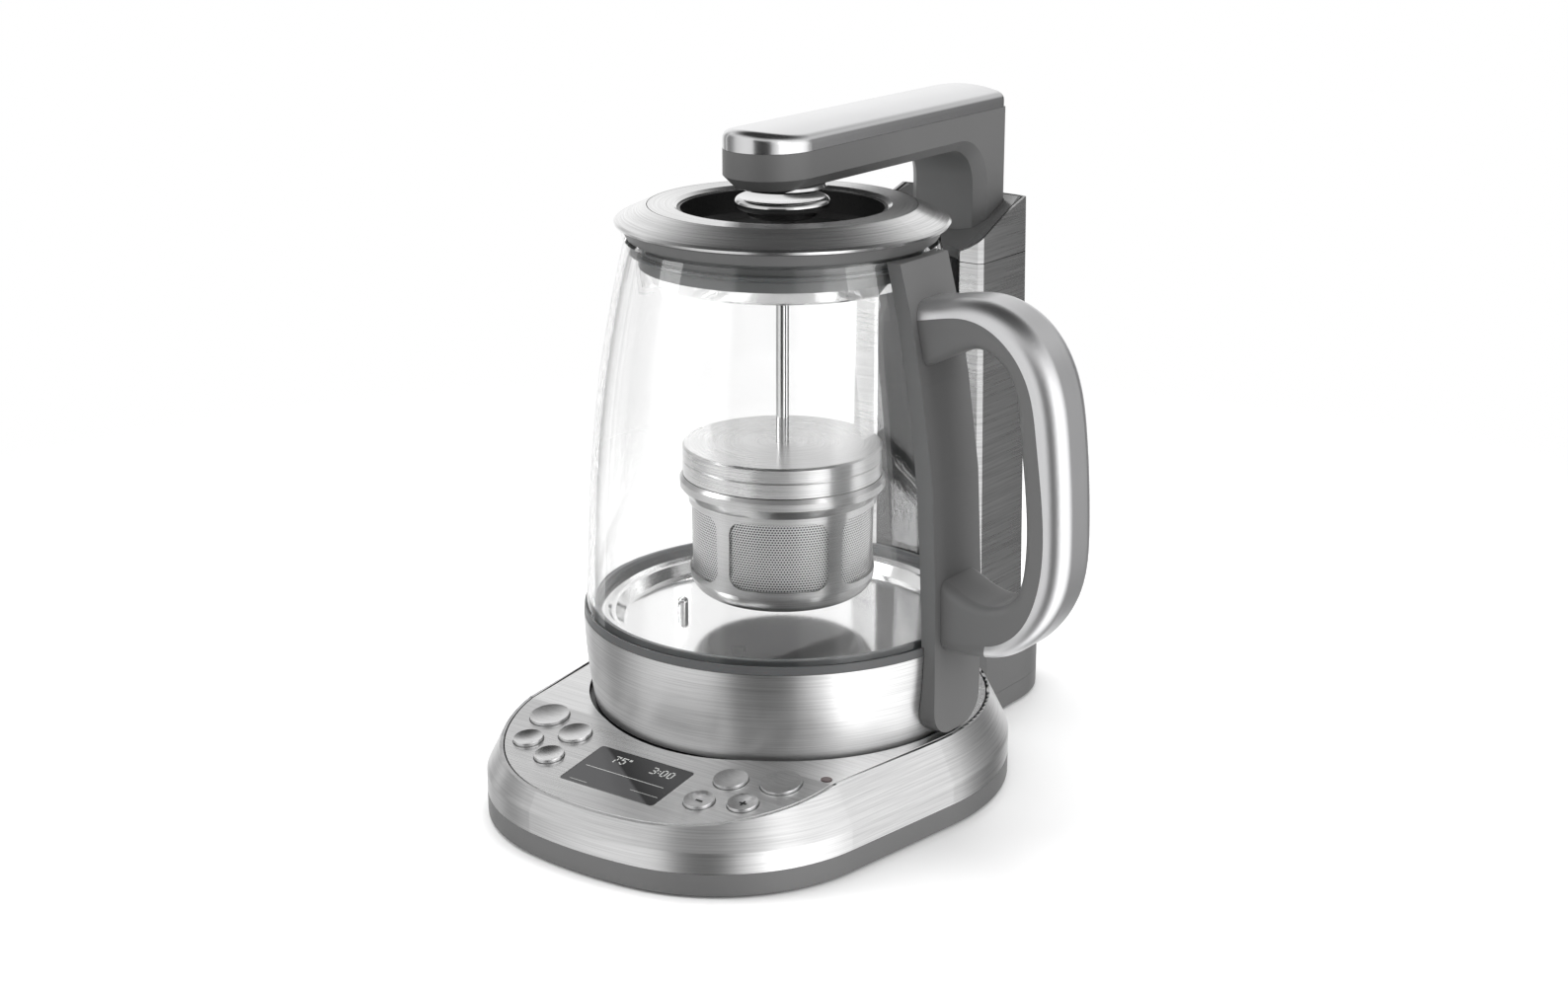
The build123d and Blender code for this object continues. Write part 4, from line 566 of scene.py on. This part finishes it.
dress(lacquered_board(), "control_board", "power_board")


# ---- Arm ---------------------------------------------------------------------------------------
# The arm and its post are one grey ABS moulding under a satin chrome cap. A polished ring and a
# nickel-plated magnet in the nose hold the basket's knob.
def polished_steel(name, hex_colour, rough=0.07, rings=0.0006, relief=0.08):
    """Stainless polished on a wheel: a mirror with faint turning marks round the jug's axis."""
    material, tree = new_material(name)
    place = add(tree, "ShaderNodeTexCoord")
    axes = add(tree, "ShaderNodeSeparateXYZ", {0: place.outputs["Object"]})
    flat = add(tree, "ShaderNodeCombineXYZ", {0: axes.outputs["X"], 1: axes.outputs["Y"]})
    out = add(tree, "ShaderNodeVectorMath", {0: flat.outputs[0]}, operation="LENGTH")
    wide = add(tree, "ShaderNodeMath", {
        0: out.outputs["Value"], 1: 1 / rings,
    }, operation="MULTIPLY")
    high = add(tree, "ShaderNodeMath", {0: axes.outputs["Z"], 1: 1 / rings}, operation="MULTIPLY")
    where = add(tree, "ShaderNodeCombineXYZ", {0: wide.outputs[0], 1: high.outputs[0]})
    marks = add(tree, "ShaderNodeTexNoise", {
        "Vector": where.outputs[0], "Scale": 1.0, "Detail": 2.0,
    })
    tint = linear(hex_colour)
    dark = tuple(c * 0.93 for c in tint[:3]) + (1.0,)
    colour = add(tree, "ShaderNodeMix", {
        0: marks.outputs["Fac"], 6: dark, 7: tint,
    }, data_type="RGBA")
    gloss = add(tree, "ShaderNodeMapRange", {
        0: marks.outputs["Fac"], 3: rough * 0.7, 4: rough * 1.4,
    })
    bump = add(tree, "ShaderNodeBump", {
        "Height": marks.outputs["Fac"], "Strength": relief, "Distance": 0.00003,
    })
    shader = add(tree, "ShaderNodeBsdfPrincipled", {
        "Base Color": colour.outputs[2], "Roughness": gloss.outputs[0], "Metallic": 1.0,
        "Normal": bump.outputs[0],
    })
    add(tree, "ShaderNodeOutputMaterial", {"Surface": shader.outputs[0]})
    return material


def satin_chrome(name, hex_colour, rough=0.2):
    """Satin chrome on a cast, bead-blasted part: soft reflections over a very fine grain."""
    material, tree = new_material(name)
    place = add(tree, "ShaderNodeTexCoord")
    grain = add(tree, "ShaderNodeTexNoise", {
        "Vector": place.outputs["Object"], "Scale": 1 / 0.0003, "Detail": 3.0,
    })
    cloud = add(tree, "ShaderNodeTexNoise", {
        "Vector": place.outputs["Object"], "Scale": 1 / 0.02, "Detail": 1.0,
    })
    tint = linear(hex_colour)
    dark = tuple(c * 0.95 for c in tint[:3]) + (1.0,)
    colour = add(tree, "ShaderNodeMix", {
        0: cloud.outputs["Fac"], 6: dark, 7: tint,
    }, data_type="RGBA")
    gloss = add(tree, "ShaderNodeMapRange", {
        0: grain.outputs["Fac"], 3: rough - 0.03, 4: rough + 0.03,
    })
    bump = add(tree, "ShaderNodeBump", {
        "Height": grain.outputs["Fac"], "Strength": 0.06, "Distance": 0.00003,
    })
    shader = add(tree, "ShaderNodeBsdfPrincipled", {
        "Base Color": colour.outputs[2], "Roughness": gloss.outputs[0], "Metallic": 1.0,
        "Normal": bump.outputs[0],
    })
    add(tree, "ShaderNodeOutputMaterial", {"Surface": shader.outputs[0]})
    return material


arm_chrome = satin_chrome("satin_chrome_arm_cap", "#e8e8e9", 0.20)
ring_steel = polished_steel("polished_stainless", "#ececec")
dress(grey_abs, "arm_housing")
dress(arm_chrome, "arm_cap")
dress(ring_steel, "coupler_ring")
dress(machined("nickel_plated_magnet", "#8d8d8c", 0.25), "coupler_magnet")


# ---- Jug ---------------------------------------------------------------------------------------
# A blown borosilicate body stands in a silicone ring in a brushed stainless band. Its floor is a
# polished stainless pan with a temperature probe, and the socket and cover are black ABS.
def blown_glass():
    """Blown borosilicate glass: clear and colourless, slow waves, painted shade at its edges.

    The thin walls hardly bend what is behind them, so the body has a low IOR and the coat reflects.
    """
    material, tree = new_material("blown_borosilicate_glass")
    place = add(tree, "ShaderNodeTexCoord")
    waves = add(tree, "ShaderNodeTexNoise", {
        "Vector": place.outputs["Object"], "Scale": 1 / 0.05, "Detail": 1.0,
    })
    bump = add(tree, "ShaderNodeBump", {
        "Height": waves.outputs["Fac"], "Strength": 0.03, "Distance": 0.0015,
    })
    # Painted shade: the base colour turns grey where the wall is seen edge-on.
    facing = add(tree, "ShaderNodeLayerWeight", {"Blend": 0.5})
    painted_edge_shade = add(tree, "ShaderNodeMapRange", {0: facing.outputs["Facing"], 1: 0.80, 2: 0.99})
    colour = add(tree, "ShaderNodeMix", {
        0: painted_edge_shade.outputs[0], 6: linear("#fafafa"), 7: linear("#5a5c5e"),
    }, data_type="RGBA")
    glass = add(tree, "ShaderNodeBsdfPrincipled", {
        "Base Color": colour.outputs[2], "Roughness": 0.0, "IOR": 1.1, "Transmission Weight": 1.0,
        "Coat Weight": 1.0, "Coat IOR": 1.5, "Coat Roughness": 0.0, "Normal": bump.outputs[0],
    })
    clear = add(tree, "ShaderNodeBsdfTransparent", {"Color": linear("#f2f4f4")})
    path = add(tree, "ShaderNodeLightPath")
    soft = add(tree, "ShaderNodeMath", {
        0: path.outputs["Is Shadow Ray"], 1: path.outputs["Is Diffuse Ray"],
    }, operation="MAXIMUM")
    mixed = add(tree, "ShaderNodeMixShader", {
        0: soft.outputs[0], 1: glass.outputs[0], 2: clear.outputs[0],
    })
    add(tree, "ShaderNodeOutputMaterial", {"Surface": mixed.outputs[0]})
    return material


def silicone(name, hex_colour, rough=0.45):
    """Food-grade silicone, moulded: soft matt grey with a little light inside."""
    material, tree = new_material(name)
    place = add(tree, "ShaderNodeTexCoord")
    cloud = add(tree, "ShaderNodeTexNoise", {
        "Vector": place.outputs["Object"], "Scale": 1 / 0.006, "Detail": 3.0,
    })
    tint = linear(hex_colour)
    dark = tuple(c * 0.9 for c in tint[:3]) + (1.0,)
    colour = add(tree, "ShaderNodeMix", {
        0: cloud.outputs["Fac"], 6: dark, 7: tint,
    }, data_type="RGBA")
    shader = add(tree, "ShaderNodeBsdfPrincipled", {
        "Base Color": colour.outputs[2], "Roughness": rough, "IOR": 1.41, "Subsurface Weight": 0.1,
        "Subsurface Scale": 0.001,
    })
    add(tree, "ShaderNodeOutputMaterial", {"Surface": shader.outputs[0]})
    return material


dress(blown_glass(), "jug_glass")
band_steel = brushed_stainless("brushed_stainless_band", "#f6f6f6", "level", 0.38, 0.8, line=0.0004)
dress(band_steel, "steel_band")
dress(silicone("moulded_grey_silicone", "#5e5f60", 0.3), "band_gasket", "lid_seal")
dress(polished_steel("polished_stainless_floor", "#fafafa", 0.10, 0.0012, 0.2), "heater_plate")
dress(ring_steel, "sensor_probe")
dress(black_abs, "upper_connector", "jug_bottom_cover")


# ---- Handle ------------------------------------------------------------------------------------
# A glass-filled ABS bracket is clamped to the band and the glass. The grip is screwed to it, and a
# die-cast shell in satin chrome closes its outside.
handle_chrome = satin_chrome("satin_chrome_handle", "#ececed", 0.38)
dress(grey_abs, "handle_bracket", "handle_grip")
dress(handle_chrome, "handle_shell")


# ---- Lid ---------------------------------------------------------------------------------------
# Two satin aluminium rings, turned on a lathe, lie on a grey moulding with a stopper below. A gloss
# black well holds the knob, and a polished pan closes the stopper's underside.
rim_metal = brushed_stainless("turned_satin_rim", "#f2f2f2", "round", 0.22, 0.6, relief=0.10)
disc_metal = brushed_stainless("turned_satin_disc", "#eaeaea", "round", 0.20, 0.85, relief=0.10)
well_gloss = moulded_abs("polished_black_abs", "#2c2c2c", 0.3)
dress(rim_metal, "lid_rim")
dress(disc_metal, "lid_ring")
dress(well_gloss, "lid_well", "rod_bush")
dress(grey_abs, "lid_body")
dress(ring_steel, "lid_pan")


# ---- Infuser -----------------------------------------------------------------------------------
# The knob, a turned stainless disc, carries the rod. The deep-drawn cap and cup are brushed. An
# etched screen with rows of fine holes closes the cup's windows.
HOLE_PITCH = 0.0011    # drawn coarser than the real holes, so that they still show
CUP_R = 0.034
ROW_STEP = 0.866       # rows of a staggered pattern lie closer than its holes
HOLE_R, HOLE_EDGE = 0.26, 0.36         # shares of the pitch


def etched_screen():
    """Photo-etched stainless: staggered round holes, painted near-black as the shade seen through
    them.
    """
    material, tree = new_material("etched_stainless_screen")
    place = add(tree, "ShaderNodeTexCoord")
    axes = add(tree, "ShaderNodeSeparateXYZ", {0: place.outputs["Object"]})
    turn = add(tree, "ShaderNodeMath", {
        0: axes.outputs["Y"], 1: axes.outputs["X"],
    }, operation="ARCTAN2")
    column = add(tree, "ShaderNodeMath", {
        0: turn.outputs[0], 1: CUP_R / HOLE_PITCH,
    }, operation="MULTIPLY")
    row = add(tree, "ShaderNodeMath", {
        0: axes.outputs["Z"], 1: 1 / (HOLE_PITCH * ROW_STEP),
    }, operation="MULTIPLY")
    floor = add(tree, "ShaderNodeMath", {0: row.outputs[0]}, operation="FLOOR")
    odd = add(tree, "ShaderNodeMath", {0: floor.outputs[0], 1: 2.0}, operation="FLOORED_MODULO")
    shifted = add(tree, "ShaderNodeMath", {
        0: odd.outputs[0], 1: 0.5, 2: column.outputs[0],
    }, operation="MULTIPLY_ADD")
    across = add(tree, "ShaderNodeMath", {0: shifted.outputs[0]}, operation="FRACT")
    up = add(tree, "ShaderNodeMath", {0: row.outputs[0]}, operation="FRACT")
    spot = add(tree, "ShaderNodeCombineXYZ", {0: across.outputs[0], 1: up.outputs[0]})
    centre = add(tree, "ShaderNodeVectorMath", {
        0: spot.outputs[0], 1: (0.5, 0.5, 0.0),
    }, operation="DISTANCE")
    hole = add(tree, "ShaderNodeMapRange", {0: centre.outputs["Value"], 1: HOLE_R, 2: HOLE_EDGE})
    # Painted shade: the holes are near-black, for the dim inside of the basket seen through them.
    colour = add(tree, "ShaderNodeMix", {
        0: hole.outputs[0], 6: linear("#161616"), 7: linear("#c9c9c9"),
    }, data_type="RGBA")
    rough = add(tree, "ShaderNodeMapRange", {0: hole.outputs[0], 3: 0.7, 4: 0.28})
    bump = add(tree, "ShaderNodeBump", {
        "Height": hole.outputs[0], "Strength": 0.5, "Distance": 0.0002,
    })
    shader = add(tree, "ShaderNodeBsdfPrincipled", {
        "Base Color": colour.outputs[2], "Roughness": rough.outputs[0], "Metallic": 0.9,
        "Normal": bump.outputs[0],
    })
    add(tree, "ShaderNodeOutputMaterial", {"Surface": shader.outputs[0]})
    return material


def painted_underside_shade(material):
    """Paints shade on the basket's downward faces: their base colour falls to 0.12 of itself facing
    down.
    """
    tree = material.node_tree
    shader = next(node for node in tree.nodes if node.type == "BSDF_PRINCIPLED")
    face = add(tree, "ShaderNodeNewGeometry")
    axes = add(tree, "ShaderNodeSeparateXYZ", {0: face.outputs["Normal"]})
    below = add(tree, "ShaderNodeMapRange", {
        0: axes.outputs["Z"], 1: -0.95, 2: -0.6, 3: 0.12, 4: 1.0,
    })
    plain = shader.inputs["Base Color"].links[0].from_socket
    colour = add(tree, "ShaderNodeVectorMath", {0: plain, 3: below.outputs[0]}, operation="SCALE")
    tree.links.new(colour.outputs[0], shader.inputs["Base Color"])
    return material


knob_steel = polished_steel("polished_stainless_knob", "#e4e4e4", 0.12, 0.0005, 0.1)
dress(knob_steel, "lift_knob")
dress(ring_steel, "lift_rod")
drawn_steel = brushed_stainless("brushed_stainless_basket", "#c9c9c9", "level", 0.30, 0.6,
                                line=0.0004, relief=0.2)
cap_steel = brushed_stainless("turned_stainless_cap", "#dcdcdc", "round", 0.28, 0.5,
                              line=0.0004, relief=0.15)
dress(cap_steel, "basket_cap")
# The cup's downward faces carry painted shade.
dress(painted_underside_shade(drawn_steel), "basket_cup")
dress(etched_screen(), "basket_mesh")
